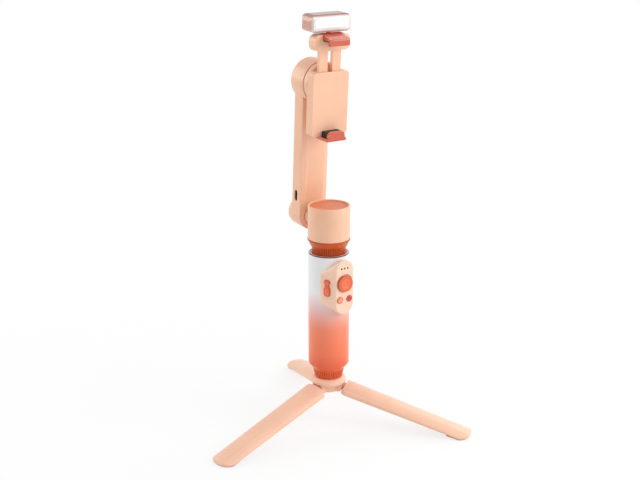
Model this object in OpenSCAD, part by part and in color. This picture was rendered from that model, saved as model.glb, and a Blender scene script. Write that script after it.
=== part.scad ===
// Folding two-axis gimbal on a mini tripod, with a telescopic rod in its handle.
// Millimetres. +Z is up, the clamp faces -Y, and the origin lies on the floor under the handle's axis.

/* [Tripod] */
// Length of a leg from its hinge pin to its tip
leg_len = 117; // [100:1:140]
// Width of a leg
leg_w = 22.4; // [19:0.2:24.4]
// Thickness of a leg at its root
leg_thick = 7.7; // [7:0.1:9]
// Radius of a leg's crowned back
leg_back_r = 16.7; // [15:0.1:20]
// Wall of a leg around its hollow underside
leg_wall = 2; // [1.2:0.1:2.6]
// Slope of an open leg in degrees
leg_slope = 15.4; // [13:0.1:20]
// Heading of the first leg in degrees
leg_turn = -49.9; // [-60:0.1:0]
// Length of a leg's tip beyond the line where its underside meets the floor
leg_toe = 3; // [2:0.1:8]
// Thickness of a foot pad under the tip
pad_t = 1; // [0.6:0.1:1.6]
// Length of a foot pad
pad_len = 13; // [12.5:0.5:18]
// Radius of the hub's disc
hub_r = 14.8; // [14:0.1:15.4]
// Height of the hub's disc
hub_h = 5.1; // [4:0.1:5.2]
// Radius of the cup below the disc
cup_r = 9.8; // [9:0.1:11]
// Distance of a leg's pin from the hub's axis
pin_reach = 9.5; // [9:0.1:10.5]
// Drop from the hub's top to the leg pins
pin_drop = 8.4; // [8.3:0.1:12]
// Radius of a leg pin
pin_r = 1; // [0.8:0.05:1.3]

/* [Handle] */
// Height of the knurled base collar
collar_h = 5.2; // [4:0.1:8]
// Radius of the base collar at its foot
collar_foot_r = 10.8; // [10:0.1:11.8]
// Radius of the base collar at its top
collar_top_r = 12.3; // [12:0.1:13.5]
// Number of grooves round the base collar
collar_grooves = 44; // [24:1:60]
// Outer radius of the grip
grip_r = 16.9; // [16.5:0.1:19]
// Length of the grip
grip_h = 103.4; // [86:0.1:130]
// Wall of the grip
grip_wall = 1.6; // [1.2:0.1:2.2]
// Height of the glossy flange on the grip
flange_h = 1; // [0.8:0.1:3]
// Radius of the screw that holds the tripod
stud_r = 3.175; // [2.5:0.005:3.5]

/* [Telescopic rod] */
// Outer radius of the widest rod tube
rod_r = 12.4; // [12:0.05:12.8]
// Step in radius from one rod tube to the next
rod_step = 1.45; // [1.3:0.05:1.6]
// Wall of the three outer rod tubes
rod_wall = 0.65; // [0.5:0.05:0.8]
// Wall of the innermost rod tube
rod_core_wall = 1.2; // [0.8:0.1:1.6]
// Height of the sliding bush at the foot of each tube
bush_h = 8; // [6:0.5:10]
// Height of the guiding lip at the top of each tube
lip_h = 3; // [2:0.5:4]

/* [Control pod] */
// Width of the pod's front
pod_w = 18; // [17:0.5:20]
// Height of the pod's front
pod_h = 46.5; // [44:0.5:50]
// Distance of the pod's front from the handle's axis
pod_reach = 22.8; // [22.6:0.1:26]
// Width of the pod where it meets the grip
pod_back_w = 28.6; // [26:0.2:31]
// Height of the pod where it meets the grip
pod_back_h = 29.5; // [26:0.5:32]
// Diameter of the joystick
stick_d = 13.2; // [11:0.1:13.6]
// Diameter of the two buttons
button_d = 5.5; // [4.5:0.1:5.8]
// Height of the zoom rocker
zoom_h = 13.9; // [12:0.1:15]
// Width of the zoom rocker
zoom_w = 5.4; // [4.6:0.1:5.6]

/* [Pan motor] */
// Radius of the motor housing
motor_r = 17.2; // [17:0.1:19]
// Height of the motor housing
motor_h = 27.5; // [27:0.1:33]
// Wall of the motor housing
motor_wall = 1.5; // [1.2:0.1:1.8]
// Height of the knurled base under the motor
pan_base_h = 11.2; // [9:0.1:13]
// Radius of the knurled band
knurl_r = 13.8; // [13:0.1:15]
// Number of grooves round the knurled band
knurl_grooves = 60; // [30:2:72]
// Radius of the boss that carries the arm
boss_r = 8.6; // [8:0.1:9.4]
// Height of the fold axis above the housing's foot
fold_rise = 13.7; // [13.4:0.1:14.4]

/* [Arm] */
// Width of the arm
arm_w = 25.6; // [24:0.2:27]
// Thickness of the arm
arm_t = 13.8; // [12.6:0.1:15]
// Distance of the arm's front from the handle's axis
arm_reach = 23; // [22:0.1:25]
// Forward lean of the arm in degrees
arm_lean = 3.5; // [0:0.1:4.5]
// Width of the bevels down the arm's front
bevel_w = 4.3; // [3:0.1:5]
// Depth of the bevels down the arm's front
bevel_d = 1.2; // [0.8:0.1:1.8]
// Thickness of the arm's front cover
cover_t = 2.6; // [2.2:0.1:3]
// Wall of the arm's shell
arm_wall = 1.6; // [1.2:0.1:2]
// Length of the knuckle
knuckle_h = 19.6; // [18.6:0.1:21]
// Radius of the fold shaft
fold_shaft_r = 4; // [3.5:0.1:4.5]
// Distance from the fold axis up the arm to the roll axis
roll_rise = 111.8; // [108:0.1:125]

/* [Roll motor] */
// Radius of the drum at the arm's head
head_r = 17.2; // [16.6:0.1:18]
// Step of the drum's front ahead of the arm's front
head_step = 4.5; // [3.5:0.1:5.5]
// Thickness of the rotor's disc
rotor_t = 5.2; // [4:0.1:6.5]
// Radius of the motor shafts
axle_r = 2; // [1.5:0.1:2.4]
// Outer radius of the motor bearings
bearing_r = 4.5; // [4:0.1:4.8]

/* [Clamp] */
// Gap between the two jaw pads at rest
jaw_gap = 70.9; // [66:0.1:76]
// Depth of the gap behind the lips
jaw_depth = 7.7; // [7:0.1:10]
// Thickness of the lips
lip_t = 2.5; // [1.8:0.1:3.2]
// Width of the upper jaw
upper_jaw_w = 18.2; // [15:0.1:20]
// Width of the lower jaw
lower_jaw_w = 18; // [15:0.1:21]
// Width of the clamp's back
back_w = 33; // [29:0.1:36]
// Thickness of the clamp's back
back_t = 8.8; // [8:0.1:11]
// Height of the sliding carrier
carrier_h = 12.5; // [11:0.1:13]
// Travel of the upper jaw inwards
jaw_in = 16; // [10:0.5:16]
// Travel of the upper jaw outwards
jaw_out = 19; // [10:0.5:19]
// Number of turns of the clamp spring
spring_turns = 9; // [6:1:12]

/* [Fill light] */
// Width of the light
light_w = 37.6; // [32:0.1:42]
// Height of the light
light_h = 13.8; // [12:0.1:17]
// Depth of the light
light_d = 14.8; // [13:0.1:15.4]
// Corner radius of the light
light_r = 5; // [4:0.1:6]

/* [Fits] */
// Gap between bodies that move past each other
body_gap = 0.3; // [0.2:0.05:0.4]
// Radial clearance of the telescopic tubes
slide_gap = 0.1; // [0.05:0.01:0.12]
// Radial clearance of shafts and pins in their bores
shaft_gap = 0.05; // [0.02:0.01:0.08]

/* [Hidden] */

$fn = 96;
// Overrun of every cut
over = 1;
// Number of legs
leg_count = 3;

// Tripod: a leg's own frame has its origin at the pin, x along the leg and z out of its back
leg_core = 7.5;
leg_under = leg_core - pin_reach;
leg_top = leg_under + leg_thick;
leg_taper = 1.2;
leg_root = 3.8;
leg_root_rake = 2;
leg_root_r = 5;
leg_tip_corner_r = 10;
leg_tip_r = leg_thick - leg_len * tan(leg_taper);
pin_z = (leg_len - leg_toe) * sin(leg_slope) - leg_under * cos(leg_slope);
hub_top_z = pin_z + pin_drop;
hub_z = hub_top_z - hub_h;
lug_r = 3.5;
lug_w = 12;
eye_r = 3;
tongue_w = 6;
tongue_len = 8;
tongue_top = 2.6;
cup_drop = 4.7;
cup_z = pin_z - cup_drop;
cup_edge_r = 3;
cup_flat_h = 2.2;
seat_margin = 1.4;
seat_r = collar_foot_r + seat_margin;
hub_rim = 0.8;
hub_bevel_h = 2.2;
stud_head_r = 5.5;
stud_head_h = 3.6;
stud_floor = 3.8;
pocket_from = 14;
pocket_land = 4;
pocket_to = leg_len - pad_len - pocket_land;
pocket_r = 3;
bay_count = 5;
rib_t = 1.6;
rib_pitch = (pocket_to - pocket_from) / bay_count;
nub_x = pocket_from + (bay_count - 1) * rib_pitch;
nub_inset = 3.2;
nub_w = leg_w - 2*nub_inset;
nub_l = 3;
nub_h = 1.8;
pad_inset = 0.8;
pad_rear_r = 2;
pad_deep = 5;
fold_apex = leg_under - leg_core + body_gap / sin(180/leg_count);
floor_reach = 2 * leg_len;

// Handle: heights from the hub upwards
collar_z = hub_top_z;
collar_floor = 1.4;
groove_d = 0.5;
groove_w = 0.7;
insert_r = 8.5;
insert_z = collar_z + collar_floor;
grip_z = collar_z + collar_h;
grip_edge_r = grip_r - collar_top_r;
grip_floor = 7.8;
grip_bore_r = grip_r - grip_wall;
grip_top_z = grip_z + grip_h;
rod_floor_z = grip_z + grip_floor;
sleeve_floor = 1.4;
sleeve_z = rod_floor_z + sleeve_floor;
sleeve_r = rod_r + rod_step - rod_wall;
sleeve_wall = 0.8;
flange_z = grip_top_z;
flange_inset = 0.35;
spigot_h = 6;
stud_room = 2;
stud_end_gap = 0.5;
stud_top_z = sleeve_z - stud_room;
thread_gap = 0.025;
insert_bore_r = stud_r + thread_gap;

// Telescopic rod: tube radii from the outside in
rod_count = 4;
rod_rest = 0.6;
rod_z = sleeve_z + rod_rest;
rod_top_z = flange_z + flange_h - body_gap;
function tube_r(i) = rod_r - i * rod_step;
function tube_bore(i) = tube_r(i) - (i == rod_count - 1 ? rod_core_wall : rod_wall);
function tube_bush(i) = tube_r(i) + rod_step - rod_wall - slide_gap;

// Control pod: heights down from the pod's top
pod_drop = 0.7;
pod_mid_drop = 24.7;
stick_drop = 19.6;
button_drop = 33.3;
light_row_drop = 7;
pod_top_z = grip_top_z - pod_drop;
pod_edge = 1;
pod_corner_r = 4;
pod_back_y = 9;
pod_mid_z = pod_top_z - pod_mid_drop;
stick_z = pod_top_z - stick_drop;
button_z = pod_top_z - button_drop;
button_x = 4.6;
light_row_z = pod_top_z - light_row_drop;
status_pitch = 2.85;
status_r = 0.8;
status_deep = 1.2;
board_y = grip_r + body_gap;
board_t = 1;
board_w = 15;
board_h = 33;
stick_pivot = 3.1;
stick_lift = 0.4;
stick_t = 1.8;
stick_room = 1;
stick_well_r = stick_d/2 + stick_room;
stick_well_deep = 1.1;
stick_dish_r = 12;
stem_r = 1.8;
stem_hole_r = 3.2;
ring_r = 3.9;
ring_bore_r = 2.8;
ring_t = 1.3;
ring_room = 0.6;
trunnion_r = 0.4;
trunnion_len = 1.4;
button_proud = 0.6;
button_skirt = 0.5;
button_skirt_h = 0.8;
button_travel = 0.8;
pod_skin = 1.6;
zoom_y = 15.3;
zoom_lift = 1;
zoom_t = 1.4;
zoom_proud = 1.2;
zoom_room = 0.9;
zoom_waist = 1;
zoom_flat = 0.5;
zoom_pin_r = 0.4;
zoom_pin_deep = 0.55;
zoom_pin_grip = 0.6;
zoom_pin_len = zoom_w + 2*(body_gap + zoom_pin_grip);
zoom_lug_r = 0.7;
zoom_lug_gap = 0.15;
zoom_lug_len = 4;

// Pan motor: heights from the rod upwards
base_gap = 0.2;
pan_base_z = flange_z + flange_h + base_gap;
knurl_h = 3.3;
pan_base_top_z = pan_base_z + pan_base_h;
base_rim = 0.3;
pan_base_r = motor_r + base_rim;
pan_lip = 0.6;
knurl_d = 0.4;
knurl_w = 0.7;
rod_plug_h = 6;
motor_z = pan_base_top_z + body_gap;
motor_top_z = motor_z + motor_h;
motor_bore_r = motor_r - motor_wall;
cap_deep = 0.8;
cap_t = 1.4;
cap_rim = 1.4;
cap_r = motor_r - cap_rim;
web_t = 3.2;
web_z = motor_top_z - cap_deep - cap_t - web_t;
motor_hub_r = 5.5;
motor_hub_lift = 6.7;
motor_hub_z = motor_z + motor_hub_lift;
magnet_t = 2.3;
air_gap = 0.5;
stator_r = motor_bore_r - magnet_t - air_gap;
stator_room = 0.7;
stator_bore_r = motor_hub_r + stator_room;
stator_sleeve_t = 1.4;
stator_teeth = 12;
tooth_w = 2.6;
tooth_head_t = 1;
tooth_head_w = 5;
core_lift = 5.7;
core_z = motor_z + core_lift;
core_h = 12;
bearing_t = 3;
shaft_seat = 3;
shaft_foot_z = pan_base_top_z - shaft_seat;

// Knuckle: the fold axis runs along Y
fold_z = motor_z + fold_rise;
knuckle_step = 0.1;
knuckle_r = arm_w/2 - knuckle_step;
knuckle_edge_r = 2.4;
recess_deep = 1;
knuckle_y = arm_reach + recess_deep;
boss_end_y = knuckle_y - body_gap;
bush_r = 7;
bush_len = 9.5;
shaft_y = motor_r;
shaft_head_r = 6.2;
shaft_head_t = 2;
well_r = 8;
fold_cap_r = 9.5;
fold_cap_t = 1.8;
fold_cap_proud = 0.4;
fold_cap_edge_r = 0.9;

// Arm: its own frame has its origin at the fold axis, y into the arm and z up the arm
arm_edge_r = 1.6;
cover_lap = 0.8;
cover_foot = knuckle_r + cover_lap;
cover_head_lap = 1.5;
cover_top = roll_rise - head_r + cover_head_lap;
cavity_foot = cover_foot + over;
head_land = 1.6;
cavity_top = roll_rise - head_r - head_land;
port_w = 8.6;
port_t = 3.1;
port_q = 7.5;
port_s = 16.6;
port_len = 7;
port_wall = 0.4;
port_tongue = 0.8;
board_q = arm_t - arm_wall - board_t;
main_board_margin = 1.2;
main_board_w = arm_w - 2*(arm_wall + main_board_margin);
main_board_lift = 0.5;
main_board_foot = cavity_foot + main_board_lift;
main_board_h = 40;
battery_margin = 1.7;
battery_w = arm_w - 2*(arm_wall + battery_margin);
battery_t = 5.6;
battery_foot = 28;
battery_room = 3;
battery_h = cavity_top - battery_foot - battery_room;
battery_r = 2;
chip = 5;
chip_t = 0.6;

// Roll motor
head_front = -head_step;
head_wall = 1.6;
head_bore_r = head_r - head_wall;
head_floor = 2;
head_edge_r = 2;
rotor_rear = head_front - body_gap;
rotor_front = rotor_rear - rotor_t;
rotor_inset = 0.6;
rotor_r = head_r - rotor_inset;
rotor_edge = 0.8;
skirt_gap = 0.4;
skirt_r = head_bore_r - skirt_gap;
skirt_t = 0.8;
skirt_len = 10;
skirt_end = head_front + skirt_len;
roll_magnet_t = 1.3;
roll_stator_r = skirt_r - skirt_t - roll_magnet_t - air_gap;
roll_core_set = 2;
roll_core_h = 7;
roll_core_from = head_front + roll_core_set;
roll_core_to = roll_core_from + roll_core_h;
post_wall = 1.1;
post_r = bearing_r + post_wall;
post_set = 1;
post_end = head_front + post_set;
head_floor_q = arm_t - head_floor;

// Clamp: fronts are distances along y in the arm's frame, feet and tops along z
back_rear = rotor_front;
back_front = back_rear - back_t;
lip_rear = back_front - jaw_depth;
lip_front = lip_rear - lip_t;
gap_foot = roll_rise - jaw_gap/2;
gap_top = roll_rise + jaw_gap/2;
lower_pad_t = 4.3;
upper_pad_t = 0.8;
jaw_plate_t = 2.4;
jaw_foot = gap_foot - lower_pad_t;
tongue_lift = 1.7;
slide_lap = 13.9;
back_h = tongue_lift + jaw_in + jaw_out + slide_lap;
back_top = jaw_foot + back_h;
back_corner_r = 3;
lower_lip_h = 5.2;
lip_inset = 1.2;
lower_lip_w = lower_jaw_w - 2*lip_inset;
lip_corner_r = 3.5;
lip_foot_r = 1;
jaw_pad_inset = 0.5;
lower_pad_w = lower_lip_w - 2*jaw_pad_inset;
plate_inset = 2.9;
lower_plate_rear = back_rear - plate_inset;
pad_margin = 0.1;
jaw_bar_foot = gap_top + upper_pad_t;
jaw_bar_t = 4.6;
jaw_bar_set = 4.2;
jaw_bar_rear = back_front + jaw_bar_set;
upper_lip_h = 3.5;
upper_lip_foot = jaw_bar_foot - upper_lip_h;
jaw_nose_h = 1.6;
jaw_nose_r = 1.2;
carrier_rise = 3.7;
carrier_top = jaw_bar_foot + carrier_rise;
carrier_foot = carrier_top - carrier_h;
carrier_front = back_front + body_gap;
carrier_rear = back_rear - body_gap;
carrier_corner_r = 5;
tongue_half_w = 10;
tongue_t = 3.2;
tongue_set = 4.1;
tongue_mid = back_front + tongue_set;
tongue_foot = jaw_foot + tongue_lift + jaw_in;
tongue_gap = 0.15;
window_w = 4.4;
window_sill = 1.8;
window_foot = tongue_foot + window_sill;
post_inset = 2.2;
post_s = back_top - post_inset;
post_pin_r = 1;
window_room = 2;
window_top = post_s + jaw_in + window_room;
spring_r = 1.3;
wire_r = 0.25;
wire_sides = 6;
turn_rings = 8;

// Fill light
light_set = 2.2;
light_foot_q = jaw_bar_rear + light_set;
light_foot_r = 2;
light_foot_h = 1.2;
light_pin_r = 1.5;
light_pin_h = 4;
light_s = carrier_top + light_foot_h;
light_ahead = 4.4;
light_front_q = light_foot_q - light_ahead;
light_edge_r = 2.4;
lens_t = 2.2;
lens_rim = 1.6;
led_board_t = 1;
led_count = 8;
led = 2;
led_t = 0.6;

peach = [0.97, 0.78, 0.65];
coral = [0.93, 0.45, 0.33];
steel = [0.75, 0.75, 0.77];
dark = [0.2, 0.18, 0.18];
pale = [0.97, 0.96, 0.97];
green = [0.2, 0.42, 0.28];

// A flat shape in the XZ plane, extruded along Y
module along_y(from, to)
    translate([0, to, 0]) rotate([90, 0, 0]) linear_extrude(height = to - from) children();

// A flat shape in the YZ plane, extruded along X
module along_x(from, to)
    translate([from, 0, 0]) rotate([90, 0, 90]) linear_extrude(height = to - from) children();

// A flat bar from x0 to x1 with its own corner radius at each end
module bar(x0, x1, w, r0, r1) {
    translate([x0 + r0, -w/2]) square([x1 - x0 - r0 - r1, w]);
    translate([x0, r0 - w/2]) square([r0, w - 2*r0]);
    translate([x1 - r1, r1 - w/2]) square([r1, w - 2*r1]);
    for (side = [-1, 1]) {
        translate([x0 + r0, side * (w/2 - r0)]) circle(r = r0);
        translate([x1 - r1, side * (w/2 - r1)]) circle(r = r1);
    }
}

// A flat rectangle about its centre, with round corners
module rounded(w, h, r) {
    bar(-w/2, w/2, h, r, r);
}

// A flat slot with round ends
module slot(w, h) {
    square([w - h, h], center = true);
    for (side = [-1, 1]) translate([side * (w - h)/2, 0]) circle(d = h);
}

// A round bar on the Z axis whose lower edge is rounded, as a profile to be revolved
module foot_profile(r, h, edge) {
    square([r - edge, h]);
    translate([0, edge]) square([r, h - edge]);
    translate([r - edge, edge]) circle(r = edge);
}

// A box with every edge rounded: three rounded outlines cut out of each other
module soft_box(size, corner, edge) {
    intersection() {
        along_y(-size[1]/2, size[1]/2) rounded(size[0], size[2], corner);
        along_x(-size[0]/2, size[0]/2) rounded(size[1], size[2], edge);
        translate([0, 0, -size[2]/2]) linear_extrude(height = size[2]) rounded(size[0], size[1], edge);
    }
}

module tube(r, bore, from, to) {
    translate([0, 0, from]) difference() {
        cylinder(r = r, h = to - from);
        translate([0, 0, -over]) cylinder(r = bore, h = to - from + 2*over);
    }
}

module each_leg() {
    for (i = [0:leg_count - 1]) rotate([0, 0, leg_turn + i * 360/leg_count]) children();
}

module at_leg(i) {
    rotate([0, 0, leg_turn + i * 360/leg_count])
        translate([pin_reach, 0, pin_z])
            rotate([0, leg_slope, 0]) children();
}

module below_floor(height) {
    translate([-floor_reach, -floor_reach, height - floor_reach])
        cube([2*floor_reach, 2*floor_reach, floor_reach]);
}

// The arm's own frame, which leans forwards about the fold axis
module on_arm() {
    translate([0, arm_reach, fold_z]) rotate([arm_lean, 0, 0]) children();
}

// Tripod

module hub_blank() {
    rotate_extrude() polygon([
        [0, hub_z],
        [hub_r - hub_rim, hub_z],
        [hub_r, hub_z + hub_rim],
        [hub_r, hub_top_z - hub_bevel_h],
        [seat_r, hub_top_z],
        [0, hub_top_z]
    ]);
    translate([0, 0, cup_z]) rotate_extrude() foot_profile(cup_r, hub_z - cup_z + hub_rim, cup_edge_r);
}

module lug_shape() {
    translate([pin_reach, pin_z]) circle(r = lug_r);
    translate([pin_reach - lug_r, pin_z]) square([2*lug_r, hub_z - pin_z + hub_rim]);
}

module tripod_hub() {
    color(peach) difference() {
        union() {
            difference() {
                hub_blank();
                each_leg() translate([leg_core - body_gap, -cup_r - over, cup_z - over])
                    cube([cup_r, 2*(cup_r + over), cup_flat_h + over]);
            }
            each_leg() along_y(-lug_w/2, lug_w/2) lug_shape();
        }
        each_leg() translate([pin_reach - eye_r - body_gap, -tongue_w/2 - body_gap/2, cup_z - over])
            cube([hub_r, tongue_w + body_gap, pin_z + eye_r + 2*body_gap - cup_z + over]);
        each_leg() along_y(-lug_w/2 - over, lug_w/2 + over)
            translate([pin_reach, pin_z]) circle(r = pin_r);
        translate([0, 0, cup_z - over]) cylinder(r = stud_r + slide_gap, h = hub_top_z - cup_z + 2*over);
        translate([0, 0, cup_z - over])
            cylinder(r = stud_head_r + slide_gap, h = hub_top_z - stud_floor - cup_z + over);
    }
}

module tripod_stud() {
    color(steel) difference() {
        union() {
            translate([0, 0, hub_top_z - stud_floor - stud_head_h]) cylinder(r = stud_head_r, h = stud_head_h);
            translate([0, 0, hub_top_z - stud_floor])
                cylinder(r = stud_r, h = stud_top_z - hub_top_z + stud_floor);
        }
        translate([0, 0, hub_top_z - stud_floor - stud_head_h - over])
            cylinder(r = stud_r, h = stud_head_h/2 + over, $fn = 6);
    }
}

module leg_pins() {
    color(steel) each_leg()
        along_y(-lug_w/2, lug_w/2) translate([pin_reach, pin_z]) circle(r = pin_r);
}

// The crowned back of a leg, which comes down to the underside towards the tip
module leg_crown(wall) {
    translate([0, 0, leg_top - leg_back_r]) rotate([0, 90 + leg_taper, 0])
        translate([0, 0, -leg_len]) cylinder(r = leg_back_r - wall, h = 3*leg_len);
}

module leg_side() {
    polygon([
        [leg_root, leg_under],
        [leg_root + leg_root_rake, leg_top],
        [leg_len - leg_tip_r, leg_top],
        [leg_len - leg_tip_r, leg_under]
    ]);
    translate([leg_len - leg_tip_r, leg_under]) circle(r = leg_tip_r);
}

module leg_blank() {
    intersection() {
        leg_crown(0);
        along_y(-leg_w, leg_w) leg_side();
        translate([0, 0, leg_under]) linear_extrude(height = 2*leg_thick)
            bar(leg_root, leg_len, leg_w, leg_root_r, leg_tip_corner_r);
    }
}

module leg_pocket() {
    difference() {
        intersection() {
            leg_crown(leg_wall);
            translate([0, 0, leg_under - over]) linear_extrude(height = leg_thick + over)
                bar(pocket_from, pocket_to, leg_w - 2*leg_wall, pocket_r, pocket_r);
        }
        for (i = [1:bay_count - 1])
            translate([pocket_from + i * rib_pitch, -leg_w/2, leg_under]) cube([rib_t, leg_w, leg_thick]);
    }
}

module leg_tongue() {
    along_y(-tongue_w/2, tongue_w/2) {
        circle(r = eye_r);
        translate([0, leg_under]) square([tongue_len, tongue_top - leg_under]);
    }
}

module leg(i) {
    color(peach) difference() {
        at_leg(i) difference() {
            union() {
                difference() {
                    leg_blank();
                    leg_pocket();
                }
                leg_tongue();
                translate([nub_x, -nub_w/2, leg_under - nub_h]) cube([nub_l, nub_w, nub_h + leg_wall]);
            }
            along_y(-leg_w, leg_w) circle(r = pin_r + shaft_gap);
        }
        below_floor(pad_t);
    }
}

// The sector round the handle's axis that a leg keeps to itself when all are folded
module fold_sector() {
    along_x(0, 2*leg_len) polygon([
        [0, fold_apex],
        [leg_len * tan(180/leg_count), fold_apex + leg_len],
        [-leg_len * tan(180/leg_count), fold_apex + leg_len]
    ]);
}

module foot_pad(i) {
    color(dark) difference() {
        at_leg(i) intersection() {
            translate([0, 0, leg_under - pad_deep]) linear_extrude(height = 2*pad_deep)
                bar(leg_len - pad_len, leg_len - pad_inset, leg_w - 2*pad_inset, pad_rear_r,
                    leg_tip_corner_r - pad_inset);
            fold_sector();
        }
        below_floor(0);
        difference() {
            at_leg(i) translate([0, -leg_w, leg_under]) cube([2*leg_len, 2*leg_w, leg_len]);
            below_floor(pad_t);
        }
    }
}

// Handle

module base_collar() {
    flare = atan((collar_top_r - collar_foot_r) / collar_h);
    color(coral) difference() {
        rotate_extrude() polygon([
            [stud_r + slide_gap, collar_z],
            [collar_foot_r, collar_z],
            [collar_top_r, grip_z],
            [insert_r, grip_z],
            [insert_r, insert_z],
            [stud_r + slide_gap, insert_z]
        ]);
        for (i = [0:collar_grooves - 1]) rotate([0, 0, i * 360/collar_grooves])
            translate([collar_foot_r, 0, collar_z]) rotate([0, flare, 0])
                translate([-groove_d, -groove_w/2, groove_w]) cube([over, groove_w, 2*collar_h]);
    }
}

module base_insert() {
    color(steel) rotate_extrude() polygon([
        [insert_bore_r, insert_z],
        [insert_r, insert_z],
        [insert_r, rod_floor_z],
        [grip_bore_r, rod_floor_z],
        [grip_bore_r, sleeve_z],
        [0, sleeve_z],
        [0, stud_top_z + stud_end_gap],
        [insert_bore_r, stud_top_z + stud_end_gap]
    ]);
}

module grip_tube() {
    color(pale) rotate_extrude() translate([0, grip_z]) difference() {
        foot_profile(grip_r, grip_h, grip_edge_r);
        translate([0, -over]) square([insert_r, grip_h]);
        translate([0, grip_floor]) square([grip_bore_r, grip_h]);
    }
}

module grip_collar() {
    color(coral) rotate_extrude() difference() {
        union() {
            translate([0, flange_z]) square([grip_r - flange_inset - flange_h/2, flange_h]);
            translate([grip_r - flange_inset - flange_h/2, flange_z + flange_h/2]) circle(d = flange_h);
            translate([0, flange_z - spigot_h]) square([grip_bore_r, spigot_h]);
        }
        translate([0, flange_z - spigot_h - over])
            square([rod_r + slide_gap, spigot_h + flange_h + 2*over]);
    }
}

module rod_sleeve() {
    color(steel) tube(sleeve_r + sleeve_wall, sleeve_r, sleeve_z, flange_z - spigot_h);
}

module rod_tube(i) {
    last = i == rod_count - 1;
    color(steel) rotate_extrude() difference() {
        union() {
            translate([0, rod_z])
                square([tube_r(i), (last ? pan_base_z : rod_top_z) - rod_z]);
            translate([0, rod_z]) square([tube_bush(i), bush_h]);
        }
        translate([0, rod_z - over]) square([tube_bore(i), (last ? flange_z : rod_top_z - lip_h) - rod_z + over]);
        translate([0, rod_z - over]) square([last ? tube_bore(i) : tube_r(i + 1) + slide_gap, grip_h + flange_h]);
    }
}

// Control pod

module pod_blank() {
    hull() {
        for (z = [pod_top_z - pod_w/2, pod_top_z - pod_h + pod_w/2]) {
            along_y(-pod_reach, pod_edge - pod_reach)
                translate([0, z]) circle(r = pod_w/2 - pod_edge, $fn = 32);
            along_y(pod_edge - pod_reach, 2*pod_edge - pod_reach)
                translate([0, z]) circle(r = pod_w/2, $fn = 32);
        }
        for (side = [-1, 1], end = [-1, 1])
            along_y(-pod_back_y - pod_edge, -pod_back_y) translate([
                side * (pod_back_w/2 - pod_corner_r),
                pod_mid_z + end * (pod_back_h/2 - pod_corner_r)
            ]) circle(r = pod_corner_r, $fn = 32);
    }
}

// The side of the pod that carries the zoom rocker: x points out of it and y to the front
zoom_flare = atan((pod_back_w/2 - pod_w/2) / (pod_reach - pod_back_y - 2*pod_edge));
zoom_x = pod_w/2 + (pod_reach - pod_edge - zoom_y) * tan(zoom_flare);

module at_zoom() {
    translate([-zoom_x, -zoom_y, pod_mid_z + zoom_lift]) rotate([0, 0, 180 + zoom_flare]) children();
}

module zoom_outline(grow) {
    difference() {
        rounded(zoom_w + 2*grow, zoom_h + 2*grow, zoom_w/2 - zoom_flat + grow);
        for (side = [-1, 1]) translate([side * zoom_w, zoom_h/6])
            circle(r = zoom_w/2 + zoom_waist - grow);
    }
}

// A round bar about the rocker's axis
module zoom_round(r, len) {
    along_y(-len/2, len/2) translate([-zoom_pin_deep, 0]) circle(r = r);
}

module button_well(x) {
    along_y(-pod_reach - over, pod_skin - pod_reach)
        translate([x, button_z]) circle(r = button_d/2 + slide_gap);
    along_y(pod_skin - pod_reach, pod_skin - pod_reach + button_skirt_h + button_travel + body_gap)
        translate([x, button_z]) circle(r = button_d/2 + button_skirt + slide_gap);
}

module control_pod() {
    color(peach) difference() {
        pod_blank();
        cylinder(r = grip_r, h = 2*grip_top_z);
        along_y(-pod_reach - over, stick_well_deep - pod_reach)
            translate([0, stick_z]) circle(r = stick_well_r);
        along_y(-pod_reach - over, -board_y) translate([0, stick_z]) circle(r = stem_hole_r);
        along_y(pod_skin - pod_reach, -board_y) translate([0, stick_z]) circle(r = ring_r + ring_room);
        along_x(-ring_r - trunnion_len, ring_r + trunnion_len)
            translate([stick_pivot - pod_reach, stick_z]) circle(r = trunnion_r + shaft_gap);
        button_well(-button_x);
        button_well(button_x);
        for (i = [-1:1]) along_y(-pod_reach - over, status_deep - pod_reach)
            translate([i * status_pitch, light_row_z]) circle(r = status_r);
        along_y(-board_y - board_t, -pod_back_y) translate([0, pod_mid_z + pod_edge])
            square([board_w, board_h], center = true);
        at_zoom() {
            along_x(-zoom_room - zoom_t + zoom_proud, over) zoom_outline(body_gap);
            zoom_round(zoom_lug_r + zoom_lug_gap, zoom_lug_len + 2*body_gap);
            zoom_round(zoom_pin_r, zoom_pin_len);
        }
    }
}

module control_board() {
    color(green) along_y(-board_y - board_t, -board_y) translate([0, pod_mid_z + pod_edge])
        square([board_w, board_h], center = true);
}

module status_lights() {
    color(dark) for (i = [-1:1]) along_y(-pod_reach, status_deep - pod_reach)
        translate([i * status_pitch, light_row_z]) circle(r = status_r);
}

module joystick_ring() {
    color(steel) difference() {
        union() {
            along_y(stick_pivot - pod_reach - ring_t/2, stick_pivot - pod_reach + ring_t/2)
                translate([0, stick_z]) circle(r = ring_r);
            along_x(-ring_r - trunnion_len + body_gap, ring_r + trunnion_len - body_gap)
                translate([stick_pivot - pod_reach, stick_z]) circle(r = trunnion_r);
        }
        along_y(-pod_reach, -board_y) translate([0, stick_z]) circle(r = ring_bore_r);
        translate([0, stick_pivot - pod_reach, stick_z - ring_r - over])
            cylinder(r = trunnion_r + shaft_gap, h = 2*(ring_r + over));
    }
}

module joystick_cap() {
    color(coral) {
        translate([0, -pod_reach - stick_lift, stick_z]) rotate([90, 0, 0])
            rotate_extrude() difference() {
                square([stick_d/2, stick_t]);
                translate([0, stick_dish_r + stick_t/2]) circle(r = stick_dish_r);
            }
        along_y(-pod_reach - stick_lift - stick_t/3, stick_pivot - pod_reach + ring_t/2)
            translate([0, stick_z]) circle(r = stem_r);
        translate([0, stick_pivot - pod_reach, stick_z - ring_r])
            cylinder(r = trunnion_r, h = 2*ring_r);
    }
}

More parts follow.
